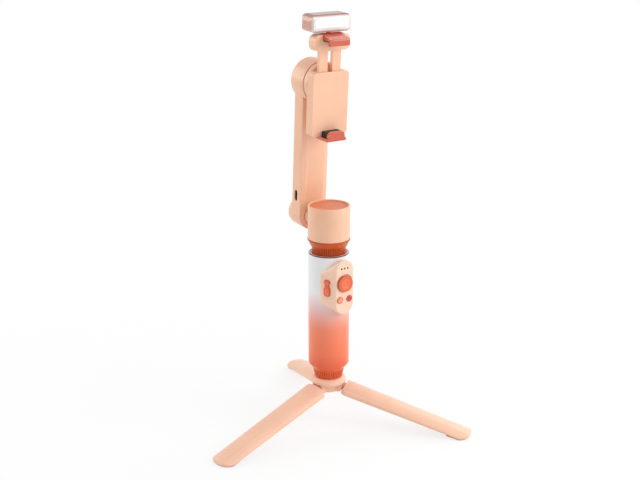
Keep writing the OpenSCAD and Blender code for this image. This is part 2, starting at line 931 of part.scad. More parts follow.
module button(x) {
    translate([x, -pod_reach - button_proud, button_z]) rotate([-90, 0, 0]) rotate_extrude() {
        foot_profile(button_d/2, button_proud + pod_skin + button_skirt_h, button_proud/2);
        translate([0, button_proud + pod_skin]) square([button_d/2 + button_skirt, button_skirt_h]);
    }
}

module mode_button() {
    color(coral) button(-button_x);
}

module record_button() {
    color(coral) button(button_x);
}

module zoom_rocker() {
    color(coral) at_zoom() difference() {
        union() {
            along_x(zoom_proud - zoom_t, zoom_proud) zoom_outline(0);
            zoom_round(zoom_lug_r, zoom_lug_len);
        }
        zoom_round(zoom_pin_r + shaft_gap, zoom_pin_len);
    }
}

module rocker_pin() {
    color(steel) at_zoom() zoom_round(zoom_pin_r, zoom_pin_len);
}

// Pan motor

module pan_base() {
    color(coral) difference() {
        rotate_extrude() polygon([
            [0, pan_base_z - rod_plug_h],
            [tube_bore(rod_count - 1), pan_base_z - rod_plug_h],
            [tube_bore(rod_count - 1), pan_base_z],
            [knurl_r, pan_base_z],
            [knurl_r, pan_base_z + knurl_h],
            [pan_base_r, pan_base_top_z - pan_lip],
            [pan_base_r, pan_base_top_z],
            [axle_r, pan_base_top_z],
            [axle_r, shaft_foot_z],
            [0, shaft_foot_z]
        ]);
        for (i = [0:knurl_grooves - 1]) rotate([0, 0, i * 360/knurl_grooves])
            translate([knurl_r - knurl_d, -knurl_w/2, pan_base_z + knurl_w/2])
                cube([over, knurl_w, knurl_h - knurl_w]);
    }
}

// Laminated core of a motor: a ring of teeth with wide heads
module stator_core(bore, r, h) {
    linear_extrude(height = h) difference() {
        union() {
            circle(r = bore + stator_sleeve_t);
            for (i = [0:stator_teeth - 1]) rotate(i * 360/stator_teeth) {
                translate([bore, -tooth_w/2]) square([r - bore - tooth_head_t, tooth_w]);
                intersection() {
                    translate([r - 2*tooth_head_t, -tooth_head_w/2]) square([2*tooth_head_t, tooth_head_w]);
                    circle(r = r);
                }
            }
        }
        circle(r = bore);
    }
}

module pan_stator() {
    color(steel) {
        tube(stator_bore_r + stator_sleeve_t, stator_bore_r, pan_base_top_z, core_z + over);
        translate([0, 0, core_z]) stator_core(stator_bore_r, stator_r, core_h);
    }
}

module pan_shaft() {
    color(steel) translate([0, 0, shaft_foot_z])
        cylinder(r = axle_r, h = web_z - shaft_foot_z - body_gap);
}

module pan_housing() {
    color(peach) difference() {
        union() {
            translate([0, 0, motor_z]) cylinder(r = motor_r, h = motor_h);
            along_y(0, boss_end_y) translate([0, fold_z]) circle(r = boss_r);
        }
        difference() {
            translate([0, 0, motor_z - over]) cylinder(r = motor_bore_r, h = web_z - motor_z + over);
            translate([0, 0, motor_hub_z]) cylinder(r = motor_hub_r, h = motor_h);
        }
        translate([0, 0, motor_z - over]) cylinder(r = bearing_r, h = web_z - motor_z + over);
        translate([0, 0, motor_top_z - cap_deep - cap_t]) cylinder(r = cap_r, h = cap_deep + cap_t + over);
        along_y(shaft_y, boss_end_y + over) translate([0, fold_z]) circle(r = fold_shaft_r);
    }
}

module pan_cap() {
    color(coral) translate([0, 0, motor_top_z - cap_deep - cap_t]) cylinder(r = cap_r, h = cap_t);
}

module pan_magnets() {
    color(dark) tube(motor_bore_r, motor_bore_r - magnet_t, core_z, core_z + core_h);
}

module pan_bearings() {
    color(steel) {
        tube(bearing_r, axle_r + shaft_gap, motor_hub_z, motor_hub_z + bearing_t);
        tube(bearing_r, axle_r + shaft_gap, web_z - bearing_t, web_z);
    }
}

module fold_shaft() {
    head_y = knuckle_y + bush_len + body_gap;
    color(steel) {
        along_y(shaft_y, head_y) translate([0, fold_z]) circle(r = fold_shaft_r);
        along_y(head_y, head_y + shaft_head_t) translate([0, fold_z]) circle(r = shaft_head_r);
    }
}

// Arm

// Cross-section of the arm: bevelled front corners, rounded rear ones
module arm_section() {
    translate([-arm_w/2, bevel_d]) square([arm_w, arm_t - bevel_d - arm_edge_r]);
    translate([arm_edge_r - arm_w/2, bevel_d]) square([arm_w - 2*arm_edge_r, arm_t - bevel_d]);
    for (side = [-1, 1]) translate([side * (arm_w/2 - arm_edge_r), arm_t - arm_edge_r]) circle(r = arm_edge_r);
    polygon([
        [-arm_w/2, bevel_d],
        [bevel_w - arm_w/2, 0],
        [arm_w/2 - bevel_w, 0],
        [arm_w/2, bevel_d]
    ]);
}

// The knuckle carries the arm's front and its bevels on round the fold axis
module knuckle_blank() {
    translate([0, knuckle_h, 0]) rotate([90, 0, 0]) rotate_extrude() difference() {
        foot_profile(knuckle_r, knuckle_h, knuckle_edge_r);
        polygon([
            [knuckle_r - 2*bevel_w, knuckle_h + bevel_d],
            [knuckle_r + bevel_w, knuckle_h - 2*bevel_d],
            [knuckle_r + bevel_w, knuckle_h + bevel_d]
        ]);
    }
}

module port_shape(grow) {
    along_x(-arm_w/2 - over, port_len - arm_w/2)
        translate([port_q, port_s]) rotate(90) slot(port_w + 2*grow, port_t + 2*grow);
}

module arm_shell() {
    color(peach) difference() {
        on_arm() {
            knuckle_blank();
            linear_extrude(height = roll_rise) arm_section();
            translate([0, arm_t, roll_rise]) rotate([90, 0, 0])
                rotate_extrude() foot_profile(head_r, arm_t - head_front, head_edge_r);
        }
        along_y(0, knuckle_y) translate([0, fold_z]) circle(r = boss_r + body_gap);
        along_y(0, knuckle_y + bush_len) translate([0, fold_z]) circle(r = bush_r);
        along_y(knuckle_y + bush_len, knuckle_y + knuckle_h - fold_cap_t)
            translate([0, fold_z]) circle(r = well_r);
        on_arm() {
            along_y(knuckle_h - fold_cap_t, knuckle_h + over) circle(r = fold_cap_r);
            translate([-arm_w, -over, cover_foot]) cube([2*arm_w, cover_t + over, cover_top - cover_foot]);
            translate([arm_wall - arm_w/2, cover_t - over, cavity_foot])
                cube([arm_w - 2*arm_wall, arm_t - arm_wall - cover_t + over, cavity_top - cavity_foot]);
            port_shape(port_wall);
            along_y(head_front - over, head_floor_q) translate([0, roll_rise]) circle(r = head_bore_r);
        }
    }
}

module arm_cover() {
    color(peach) on_arm() difference() {
        translate([0, 0, cover_foot]) linear_extrude(height = cover_top - cover_foot) arm_section();
        translate([-arm_w, cover_t, 0]) cube([2*arm_w, arm_t, 2*roll_rise]);
        along_y(-over, arm_t) translate([0, roll_rise]) circle(r = head_r);
    }
}

module fold_bush() {
    color(steel) along_y(knuckle_y, knuckle_y + bush_len) translate([0, fold_z]) difference() {
        circle(r = bush_r);
        circle(r = fold_shaft_r + shaft_gap);
    }
}

module fold_cap() {
    color(peach) on_arm() translate([0, knuckle_h + fold_cap_proud, 0]) rotate([90, 0, 0])
        rotate_extrude() foot_profile(fold_cap_r, fold_cap_t + fold_cap_proud, fold_cap_edge_r);
}

module battery() {
    color(dark) on_arm() translate([0, cover_t + battery_t/2 + slide_gap, battery_foot + battery_h/2])
        soft_box([battery_w, battery_t, battery_h], battery_r, battery_r);
}

module main_board() {
    color(green) on_arm() {
        translate([-main_board_w/2, board_q, main_board_foot]) cube([main_board_w, board_t, main_board_h]);
        for (i = [1, 2]) translate([chip/2, board_q - chip_t, main_board_foot + i * 2 * chip])
            cube([chip, chip_t, chip]);
    }
}

module charging_port() {
    color(steel) on_arm() {
        along_x(-arm_w/2 + arm_wall/2, port_len - arm_w/2) translate([port_q, port_s]) rotate(90) difference() {
            slot(port_w + 2*port_wall, port_t + 2*port_wall);
            slot(port_w, port_t);
        }
        along_x(port_len - arm_w/2 - port_wall, port_len - arm_w/2)
            translate([port_q, port_s]) rotate(90) slot(port_w, port_t);
        along_x(arm_wall - arm_w/2, port_len - arm_w/2)
            translate([port_q, port_s]) square([port_tongue, port_w - port_t], center = true);
    }
}

// Roll motor

module roll_stator() {
    color(steel) on_arm() {
        along_y(post_end, head_floor_q) translate([0, roll_rise]) difference() {
            circle(r = post_r);
            circle(r = bearing_r);
        }
        translate([0, roll_core_to, roll_rise]) rotate([90, 0, 0])
            stator_core(post_r, roll_stator_r, roll_core_to - roll_core_from);
    }
}

module roll_bearings() {
    color(steel) on_arm() for (q = [post_end, head_floor_q - bearing_t])
        along_y(q, q + bearing_t) translate([0, roll_rise]) difference() {
            circle(r = bearing_r);
            circle(r = axle_r + shaft_gap);
        }
}

module roll_shaft() {
    color(steel) on_arm() along_y(rotor_front + rotor_t/2, head_floor_q - body_gap)
        translate([0, roll_rise]) circle(r = axle_r);
}

module roll_rotor() {
    color(peach) on_arm() translate([0, rotor_rear, roll_rise]) rotate([90, 0, 0]) rotate_extrude() {
        polygon([
            [axle_r, 0],
            [rotor_r, 0],
            [rotor_r, rotor_t - rotor_edge],
            [rotor_r - rotor_edge, rotor_t],
            [0, rotor_t],
            [0, rotor_t/2],
            [axle_r, rotor_t/2]
        ]);
        translate([skirt_r - skirt_t, rotor_rear - skirt_end]) square([skirt_t, skirt_end - rotor_rear]);
    }
}

module roll_magnets() {
    color(dark) on_arm() along_y(roll_core_from, skirt_end) translate([0, roll_rise]) difference() {
        circle(r = skirt_r - skirt_t);
        circle(r = skirt_r - skirt_t - roll_magnet_t);
    }
}

// Clamp

module clamp_back() {
    color(peach) on_arm() {
        difference() {
            along_y(back_front, back_rear) translate([0, jaw_foot + back_h/2])
                rounded(back_w, back_h, back_corner_r);
            translate([
                -tongue_half_w - tongue_gap,
                tongue_mid - tongue_t/2 - tongue_gap,
                tongue_foot - jaw_in - body_gap
            ]) cube([2*(tongue_half_w + tongue_gap), tongue_t + 2*tongue_gap, back_h]);
        }
        along_y(tongue_mid - tongue_t, tongue_mid + tongue_t) translate([0, post_s]) circle(r = post_pin_r);
    }
}

module lower_jaw() {
    color(coral) on_arm() {
        translate([-lower_jaw_w/2, lip_front, jaw_foot - jaw_plate_t])
            cube([lower_jaw_w, lower_plate_rear - lip_front, jaw_plate_t]);
        along_y(lip_front, lip_rear) translate([0, jaw_foot - jaw_plate_t]) rotate(90)
            bar(0, jaw_plate_t + lower_lip_h, lower_lip_w, lip_foot_r, lip_corner_r);
    }
}

module lower_pad() {
    color(dark) on_arm() translate([-lower_pad_w/2, lip_rear, jaw_foot])
        cube([lower_pad_w, jaw_depth - pad_margin, lower_pad_t]);
}

module jaw_carrier() {
    color(peach) on_arm() {
        difference() {
            along_y(carrier_front, carrier_rear) translate([0, carrier_foot + carrier_h/2])
                rounded(back_w, carrier_h, carrier_corner_r);
            translate([-upper_jaw_w/2, carrier_front - over, jaw_bar_foot])
                cube([upper_jaw_w, jaw_bar_rear - carrier_front + over, carrier_h]);
        }
        difference() {
            translate([-tongue_half_w, tongue_mid - tongue_t/2, tongue_foot])
                cube([2*tongue_half_w, tongue_t, carrier_foot + over - tongue_foot]);
            translate([-window_w/2, tongue_mid - tongue_t, window_foot])
                cube([window_w, 2*tongue_t, window_top - window_foot]);
        }
    }
}

// The upper jaw is a hook over the gap, whose top slopes down to a round nose
module jaw_hook_shape() {
    rake = atan((jaw_bar_t - jaw_nose_h) / (jaw_bar_rear - lip_front));
    setback = jaw_nose_r * tan((90 - rake)/2);
    nose = jaw_bar_foot + jaw_nose_h;
    difference() {
        union() {
            polygon([
                [lip_front, upper_lip_foot],
                [jaw_bar_rear, upper_lip_foot],
                [jaw_bar_rear, jaw_bar_foot + jaw_bar_t],
                [lip_front + setback * cos(rake), nose + setback * sin(rake)],
                [lip_front, nose - setback]
            ]);
            translate([lip_front + jaw_nose_r, nose - setback]) circle(r = jaw_nose_r);
        }
        translate([lip_rear, upper_lip_foot - over])
            square([jaw_bar_rear - lip_rear + over, upper_lip_h + over]);
    }
}

module upper_jaw() {
    color(coral) on_arm() along_x(-upper_jaw_w/2, upper_jaw_w/2) jaw_hook_shape();
}

module upper_pad() {
    color(dark) on_arm() translate([pad_margin - upper_jaw_w/2, lip_rear, gap_top])
        cube([upper_jaw_w - 2*pad_margin, jaw_depth - pad_margin, upper_pad_t]);
}

// Clamp spring: one tube wound round the tongue's window, between its foot and the post
spring_foot = window_foot + wire_r;
spring_top = post_s - post_pin_r - wire_r;
spring_rings = spring_turns * turn_rings;
function spring_angle(k) = 360 * k / turn_rings;
function spring_at(k) = [
    spring_r * cos(spring_angle(k)),
    tongue_mid + spring_r * sin(spring_angle(k)),
    spring_foot + wire_r + (spring_top - spring_foot - 2*wire_r) * k / spring_rings
];
function ring_point(k, j) = let (a = spring_angle(k), b = 360 * j / wire_sides)
    spring_at(k) + wire_r * [cos(b) * cos(a), cos(b) * sin(a), sin(b)];
spring_points = [for (k = [0:spring_rings], j = [0:wire_sides - 1]) ring_point(k, j)];
spring_sides = [for (k = [0:spring_rings - 1], j = [0:wire_sides - 1], half = [0, 1])
    let (a = k * wire_sides + j, b = k * wire_sides + (j + 1) % wire_sides)
        half == 0 ? [a, b, b + wire_sides] : [a, b + wire_sides, a + wire_sides]];
spring_ends = concat(
    [for (j = [1:wire_sides - 2]) [0, j + 1, j]],
    [for (j = [1:wire_sides - 2]) spring_rings * wire_sides * [1, 1, 1] + [0, j, j + 1]]
);

module clamp_spring() {
    echo(least_gap_between_turns = (spring_top - spring_foot - 2*wire_r) / spring_turns - 2*wire_r);
    color(steel) on_arm() polyhedron(points = spring_points, faces = concat(spring_sides, spring_ends));
}

// Fill light

module light_foot() {
    color(steel) on_arm() translate([0, light_foot_q, carrier_top]) {
        cylinder(r = light_foot_r, h = light_foot_h - body_gap);
        cylinder(r = light_pin_r, h = light_foot_h + light_pin_h);
    }
}

module light_frame() {
    on_arm() translate([0, light_front_q + light_d/2, light_s + light_h/2]) children();
}

module light_housing() {
    color(peach) difference() {
        light_frame() difference() {
            soft_box([light_w, light_d, light_h], light_r, light_edge_r);
            along_y(-light_d, lens_t - light_d/2)
                rounded(light_w - 2*lens_rim, light_h - 2*lens_rim, light_r - lens_rim);
            along_y(-light_d, lens_t + led_board_t + led_t + slide_gap - light_d/2)
                rounded(light_w - 4*lens_rim, light_h - 4*lens_rim, light_r - 2*lens_rim);
        }
        on_arm() translate([0, light_foot_q, carrier_top])
            cylinder(r = light_pin_r + shaft_gap, h = light_foot_h + light_pin_h + body_gap);
    }
}

module light_diffuser() {
    color(pale) light_frame() along_y(-light_d/2, lens_t - light_d/2)
        rounded(light_w - 2*lens_rim, light_h - 2*lens_rim, light_r - lens_rim);
}

module light_board() {
    color(pale) light_frame() {
        along_y(lens_t + led_t - light_d/2, lens_t + led_t + led_board_t - light_d/2)
            square([light_w - 5*lens_rim, light_h - 5*lens_rim], center = true);
        for (i = [0:led_count - 1])
            along_y(lens_t - light_d/2, lens_t + led_t - light_d/2)
                translate([(i - (led_count - 1)/2) * (light_w - 6*lens_rim) / led_count, 0])
                    square(led, center = true);
    }
}

tripod_hub();
tripod_stud();
leg_pins();
leg(0);  // leg_1
leg(1);  // leg_2
leg(2);  // leg_3
foot_pad(0);  // foot_pad_1
foot_pad(1);  // foot_pad_2
foot_pad(2);  // foot_pad_3
base_collar();
base_insert();
grip_tube();
grip_collar();
rod_sleeve();
rod_tube(0);  // rod_tube_1
rod_tube(1);  // rod_tube_2
rod_tube(2);  // rod_tube_3
rod_tube(3);  // rod_tube_4
control_pod();
control_board();
status_lights();
joystick_ring();
joystick_cap();
mode_button();
record_button();
zoom_rocker();
rocker_pin();
pan_base();
pan_stator();
pan_shaft();
pan_housing();
pan_cap();
pan_magnets();
pan_bearings();
fold_shaft();
arm_shell();
arm_cover();
fold_bush();
fold_cap();
battery();
main_board();
charging_port();
roll_stator();
roll_bearings();
roll_shaft();
roll_rotor();
roll_magnets();
clamp_back();
lower_jaw();
lower_pad();
clamp_spring();
jaw_carrier();
upper_jaw();
upper_pad();
light_foot();
light_housing();
light_diffuser();
light_board();
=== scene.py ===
"""Dresses the folding two-axis gimbal: finishes, soft edges, small trim pieces and a pale studio.

Lengths are in metres unless they are said to be in millimetres. Every piece lies in the frame of
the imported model: +Z is up, the clamp faces -Y, and the origin lies on the floor under the
handle's axis.
"""

import math

import bpy
import numpy as np
from mathutils import Matrix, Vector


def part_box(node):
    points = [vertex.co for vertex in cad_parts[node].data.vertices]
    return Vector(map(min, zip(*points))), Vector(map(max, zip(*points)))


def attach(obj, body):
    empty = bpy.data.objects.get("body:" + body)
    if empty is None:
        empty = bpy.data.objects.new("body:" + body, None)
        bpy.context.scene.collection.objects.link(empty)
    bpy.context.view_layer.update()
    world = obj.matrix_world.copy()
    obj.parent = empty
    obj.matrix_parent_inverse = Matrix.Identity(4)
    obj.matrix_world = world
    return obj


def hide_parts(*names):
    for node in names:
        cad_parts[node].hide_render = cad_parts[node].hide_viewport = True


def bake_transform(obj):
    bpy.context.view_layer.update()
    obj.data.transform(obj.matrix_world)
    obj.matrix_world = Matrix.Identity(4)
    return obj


bl_info = {
    "name": "Folding Gimbal Dresser",
    "version": (1, 0, 0),
    "blender": (4, 5, 0),
    "location": "3D View > Sidebar > Gimbal",
    "description": "Finishes, soft edges, trim pieces and a studio for a folding two-axis gimbal",
    "category": "Object",
}

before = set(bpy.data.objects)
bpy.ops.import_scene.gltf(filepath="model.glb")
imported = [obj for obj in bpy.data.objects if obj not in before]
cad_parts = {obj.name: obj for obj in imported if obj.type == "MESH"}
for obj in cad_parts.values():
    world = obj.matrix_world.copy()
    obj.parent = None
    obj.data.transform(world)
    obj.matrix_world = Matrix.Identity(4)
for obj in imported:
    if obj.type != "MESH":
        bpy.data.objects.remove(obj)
MM = 0.001
BLACK, WHITE = (0, 0, 0), (1, 1, 1)

# The clamp and the light lean forward by this angle. UP runs up along them, OUT out of their face.
LEAN = math.radians(3.5)
LEAN_UP = np.array([0.0, -math.sin(LEAN), math.cos(LEAN)])
LEAN_OUT = np.array([0.0, -math.cos(LEAN), -math.sin(LEAN)])

# The turn of the control pod's flank, and the x and y of the rocker's face on it in millimetres.
FLANK = math.radians(24.19)
ROCKER_FACE = (-13.014, -15.792)

# The base collar: its height above the CAD collar and its radii, in millimetres.
COLLAR_RISE = 3.4
COLLAR_FOOT_R = 11.3
COLLAR_TOP_R = 13.6
COLLAR_GROOVES = 44
CONE_GROOVES = 60

# Corners nearer than WELD_REACH are joined before edges sharper than EDGE_ANGLE are rounded.
WELD_REACH = 0.000002
EDGE_ANGLE = math.radians(35)
EDGE_STEPS = 3

# The height that the lamps look at.
LAMPS_AIM = 0.17

# The camera: its place, its turn and tilt in degrees, its shift as a share of the picture's
# width, and the width of its sensor in millimetres.
CAMERA_AT = (-0.50970, -0.75040, 0.44030)
CAMERA_TURN, CAMERA_TILT = -33.73, 17.92
CAMERA_SHIFT = 0.02317
CAMERA_SENSOR = 36.0


def colour(name, description, default):
    """A colour as it is seen on screen."""
    return bpy.props.FloatVectorProperty(
        name=name, description=description, default=default,
        min=0.0, max=1.0, size=3, subtype="COLOR_GAMMA",
    )


def length(name, description, default, top):
    """A length in metres."""
    return bpy.props.FloatProperty(
        name=name, description=description, default=default,
        min=0.0, max=top, precision=5, unit="LENGTH", subtype="DISTANCE",
    )


def watts(name, description, default):
    """The power of a lamp in watts."""
    return bpy.props.FloatProperty(
        name=name, description=description, default=default, min=0.0, unit="POWER",
    )


class GimbalColours(bpy.types.PropertyGroup):
    """Colours of the gimbal's finishes"""

    peach: colour("Peach", "Moulded shells, legs and hub", (0.945, 0.732, 0.598))
    coral: colour("Coral", "Jaws, joystick, rocker and base collar", (0.875, 0.315, 0.125))
    ember: colour("Ember", "Cone under the pan motor", (0.79, 0.32, 0.08))
    glaze: colour("Glaze", "Glossy flange on the grip", (0.80, 0.33, 0.22))
    cap: colour("Cap", "Recessed disc in the pan motor", (0.845, 0.455, 0.27))
    red: colour("Red", "Face of the record button", (0.88, 0.22, 0.20))
    blush: colour("Blush", "Body of the fill light", (0.80, 0.58, 0.51))
    white: colour("White", "Upper part of the grip", (0.905, 0.905, 0.91))
    lilac: colour("Lilac", "Middle of the grip's fade", (0.905, 0.72, 0.705))
    fade: colour("Fade", "Lower part of the grip's fade", (0.945, 0.475, 0.315))
    sole: colour("Sole", "Foot pads", (0.80, 0.62, 0.54))
    rubber: colour("Rubber", "Jaw pads", (0.20, 0.17, 0.17))


class GimbalSizes(bpy.types.PropertyGroup):
    """Sizes of soft edges and trim pieces"""

    shell_edge: length("Shell edge", "Rounding of the shells' edges", 0.0006, 0.003)
    leg_edge: length("Leg edge", "Rounding of the legs' edges", 0.0009, 0.003)
    jaw_edge: length("Jaw edge", "Rounding of the jaws' edges", 0.0005, 0.002)
    trim_edge: length("Trim edge", "Rounding of rings and caps", 0.0003, 0.001)
    white_from: length("White from", "Height above which the grip is white", 0.119, 0.2)
    coral_to: length("Coral to", "Height below which the grip is coral", 0.055, 0.2)
    grain: length("Grain", "Size of the moulded grain", 0.00035, 0.002)


class GimbalStudio(bpy.types.PropertyGroup):
    """Light and camera of the studio"""

    key: watts("Key", "Power of the large lamp", 8.5)
    rim: watts("Rim", "Power of the lamp on the far right", 4.0)
    fill: watts("Fill", "Power of the lamp on the shaded side", 4.5)
    top: watts("Top", "Power of the lamp overhead", 0.6)
    sky: bpy.props.FloatProperty(
        name="Sky", description="Strength of the even light all round",
        default=0.70, min=0.0, max=2.0,
    )
    focal: bpy.props.FloatProperty(
        name="Focal length", description="Focal length of the camera",
        default=65.61, min=20.0, unit="CAMERA",
    )


def ring_faces(rings, points, loop):
    """Quads between neighbouring rings of a tube whose rings close on themselves.
    With loop, the last ring is joined to the first as well."""
    row = np.arange(rings if loop else rings - 1)[:, None]
    low, high = row * points, (row + 1) % rings * points
    a = np.arange(points)[None, :]
    b = (a + 1) % points
    return np.stack([low + a, low + b, high + b, high + a], axis=-1).reshape(-1, 4)


def linked(name, data):
    """A new object in the scene."""
    made = bpy.data.objects.new(name, data)
    bpy.context.scene.collection.objects.link(made)
    return made


def closed_skin(name, rings, body, material, loop=False):
    """A closed surface through rings of points, an array of rings x points x 3.
    Neighbouring rings are joined by quads. The first and last ring are joined to each other
    with loop, and without it each is closed by a fan to its own middle point. The piece rides
    on the body when one name is given; otherwise it is left where it is made, and the bodies and
    points given are not used."""
    count, points = rings.shape[:2]
    faces = ring_faces(count, points, loop).tolist()
    vertices = rings.reshape(-1, 3)
    if not loop:
        a = np.arange(points)
        b = (a + 1) % points
        last, middle = (count - 1) * points, count * points
        faces += np.concatenate([
            np.stack([b, a, np.full(points, middle)], axis=-1),
            np.stack([a + last, b + last, np.full(points, middle + 1)], axis=-1),
        ]).tolist()
        vertices = np.concatenate([vertices, rings[:1].mean(axis=1), rings[-1:].mean(axis=1)])
    mesh = bpy.data.meshes.new(name)
    mesh.from_pydata(vertices.tolist(), [], faces)
    mesh.polygons.foreach_set("use_smooth", np.ones(len(mesh.polygons), bool))
    mesh.update()
    mesh.materials.append(material)
    piece = linked(name, mesh)
    if isinstance(body, str):
        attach(piece, body)
    else:
        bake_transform(piece)
    return piece


def around(points):
    """Evenly spaced angles of a full turn."""
    return np.linspace(0, 2 * np.pi, points, endpoint=False)


def circle_rings(profile, points):
    """A profile of (radius, height) turned about the Z axis: x = r cos t, y = r sin t, z = h."""
    t = around(points)
    r, h = profile[:, :1], profile[:, 1:]
    return np.stack([r * np.cos(t), r * np.sin(t), h + 0 * t], axis=-1)


def eased(profile, reach, steps=5):
    """A closed profile with its corners eased. Each corner p becomes the curve
    (1-s)^2 a + 2s(1-s) p + s^2 b, where a and b lie on its two sides, at most reach away and
    never past 0.45 of a side."""
    p = np.array(profile, float)
    longest = 0.45
    sides = []
    for other in (np.roll(p, 1, axis=0), np.roll(p, -1, axis=0)):
        way = other - p
        run = np.linalg.norm(way, axis=1, keepdims=True)
        sides.append(p + way / run * np.minimum(reach, longest * run))
    s = np.linspace(0, 1, steps)[:, None, None]
    curve = (1 - s) ** 2 * sides[0] + 2 * s * (1 - s) * p + s ** 2 * sides[1]
    return curve.transpose(1, 0, 2).reshape(-1, 2)


def rounded_outline(width, height, radius, points):
    """Points round a rectangle with round corners, evenly spaced along its edge.
    Each straight side and each quarter circle takes its share of the whole length."""
    w, h = width / 2 - radius, height / 2 - radius
    t = np.linspace(0, np.pi / 2, 9)
    path = np.concatenate([
        np.stack([
            x + radius * np.cos(t + k * np.pi / 2), z + radius * np.sin(t + k * np.pi / 2),
        ], axis=-1)
        for x, z, k in [(w, h, 0), (-w, h, 1), (-w, -h, 2), (w, -h, 3)]
    ])
    path = np.concatenate([path, path[:1]])
    run = np.concatenate([[0], np.cumsum(np.linalg.norm(np.diff(path, axis=0), axis=1))])
    at = np.linspace(0, run[-1], points, endpoint=False)
    return np.stack([np.interp(at, run, path[:, 0]), np.interp(at, run, path[:, 1])], axis=-1)


def placed(rings, origin, x_axis, y_axis, z_axis):
    """The rings carried to an origin with the three given axes."""
    axes = np.array([x_axis, y_axis, z_axis], float)
    return rings @ axes + np.array(origin, float)


def front_disc(r, face, back, points, base):
    """Rings of a round inlay that looks along -Y. At each radius r its face stands face in front
    of the base and its back stands back in front of it, all three in millimetres."""
    profile = np.stack([
        np.concatenate([r, r[::-1]]), np.concatenate([face, back[::-1]]),
    ], axis=-1)
    rings = circle_rings(profile[::-1] * MM, points)
    return placed(rings, base, (1, 0, 0), (0, 0, 1), (0, -1, 0))


def linear(shown):
    """A shown colour as the light it stands for, with full cover."""
    c = np.array(shown[:], float)
    low = c / 12.92
    high = ((c + 0.055) / 1.055) ** 2.4
    return [*np.where(c <= 0.04045, low, high).tolist(), 1.0]


def mixed(a, b, share):
    """A shown colour between two others."""
    return tuple((1 - share) * np.array(a[:]) + share * np.array(b[:]))


class Wiring:
    """A node tree whose nodes are added and wired by name.
    An underscore in a keyword stands for the space in a socket's name."""

    def __init__(self, tree):
        self.tree = tree

    def add(self, kind, **inputs):
        """A new node with its inputs fed."""
        made = self.tree.nodes.new(kind)
        self.wire(made, **inputs)
        return made

    def wire(self, node, **inputs):
        for socket, value in inputs.items():
            self.feed(node.inputs[socket.replace("_", " ")], value)

    def feed(self, socket, value):
        """Links a socket to another, or sets its value."""
        if isinstance(value, bpy.types.NodeSocket):
            self.tree.links.new(value, socket)
        else:
            socket.default_value = value

    def arithmetic(self, kind, operation, values):
        made = self.add(kind)
        made.operation = operation
        for socket, value in zip(made.inputs, values):
            self.feed(socket, value)
        return made

    def scalar(self, operation, *values):
        """The outcome of an operation on numbers."""
        return self.arithmetic("ShaderNodeMath", operation, values).outputs["Value"]

    def vector(self, operation, *values, result="Vector"):
        """The outcome of an operation on vectors, which is a number where result is Value."""
        return self.arithmetic("ShaderNodeVectorMath", operation, values).outputs[result]

    def spread(self, value, low, high, to_low=0.0, to_high=1.0):
        """A value mapped from one range to another."""
        return self.add(
            "ShaderNodeMapRange", Value=value, From_Min=low, From_Max=high,
            To_Min=to_low, To_Max=to_high,
        ).outputs["Result"]

    def seen_directly(self):
        """1 for a ray from the camera, a mirror or through glass, and 0 for light that spreads."""
        path = self.add("ShaderNodeLightPath").outputs
        mirrored = self.scalar("MAXIMUM", path["Is Camera Ray"], path["Is Glossy Ray"])
        return self.scalar("MAXIMUM", mirrored, path["Is Transmission Ray"])


class Finish(Wiring):
    """A material under construction."""

    def __init__(self, name, **shader):
        self.material = bpy.data.materials.new(name)
        self.material.use_nodes = True
        super().__init__(self.material.node_tree)
        self.shader = self.tree.nodes["Principled BSDF"]
        self.shade(**shader)
        self.place = self.add("ShaderNodeTexCoord").outputs["Object"]

    def shade(self, **inputs):
        """Feeds the shader's inputs."""
        self.wire(self.shader, **inputs)

    def coordinates(self):
        """The place's X, Y and Z."""
        return self.add("ShaderNodeSeparateXYZ", Vector=self.place).outputs

    def away(self, middle, direction):
        """How far the place lies from a middle along a direction."""
        along = self.vector("DOT_PRODUCT", self.place, tuple(direction), result="Value")
        return self.scalar("SUBTRACT", along, float(np.dot(middle, direction)))

    def noise(self, size, detail=2.0, stretch=None):
        """Noise with features of about the given size, stretched along the axes if asked."""
        place = self.place
        if stretch is not None:
            place = self.add("ShaderNodeMapping", Vector=place, Scale=stretch).outputs["Vector"]
        return self.add(
            "ShaderNodeTexNoise", Vector=place, Scale=1 / size, Detail=detail,
        ).outputs["Fac"]

    def varied(self, noise, low, high):
        """A value from low to high with the noise, most of which lies between 0.3 and 0.7."""
        return self.spread(noise, 0.3, 0.7, low, high)

    def mottled(self, noise, shown, dark, light):
        """A shown colour that the noise carries by a share towards black or towards white."""
        return self.ramp(noise, [
            (0.3, mixed(shown, BLACK, dark)), (0.7, mixed(shown, WHITE, light)),
        ])

    def ramp(self, value, stops):
        """A colour ramp of (position, shown colour) stops."""
        made = self.add("ShaderNodeValToRGB", Fac=value)
        elements = made.color_ramp.elements
        while len(elements) < len(stops):
            elements.new(0.5)
        for element, (position, shown) in zip(elements, stops):
            element.position = position
            element.color = linear(shown)
        return made.outputs["Color"]

    def bump(self, height, depth, strength, normal=None):
        """A normal bent by a height, on top of another bent normal if one is given."""
        made = self.add("ShaderNodeBump", Height=height, Distance=depth, Strength=strength)
        if normal is not None:
            self.wire(made, Normal=normal)
        return made.outputs["Normal"]


def moulded(name, shown, grain, rough=0.36, coat=0.0):
    """Satin plastic: fine spark grain in the normal, slow changes of tone and gloss."""
    f = Finish(name, Coat_Weight=coat, Coat_Roughness=0.12, Specular_IOR_Level=0.8)
    f.shade(
        Base_Color=f.mottled(f.noise(0.018, detail=3.0), shown, dark=0.025, light=0.025),
        Roughness=f.varied(f.noise(0.004), rough - 0.05, rough + 0.07),
        Normal=f.bump(f.noise(grain, detail=1.0), depth=0.00002, strength=0.6),
    )
    return f.material


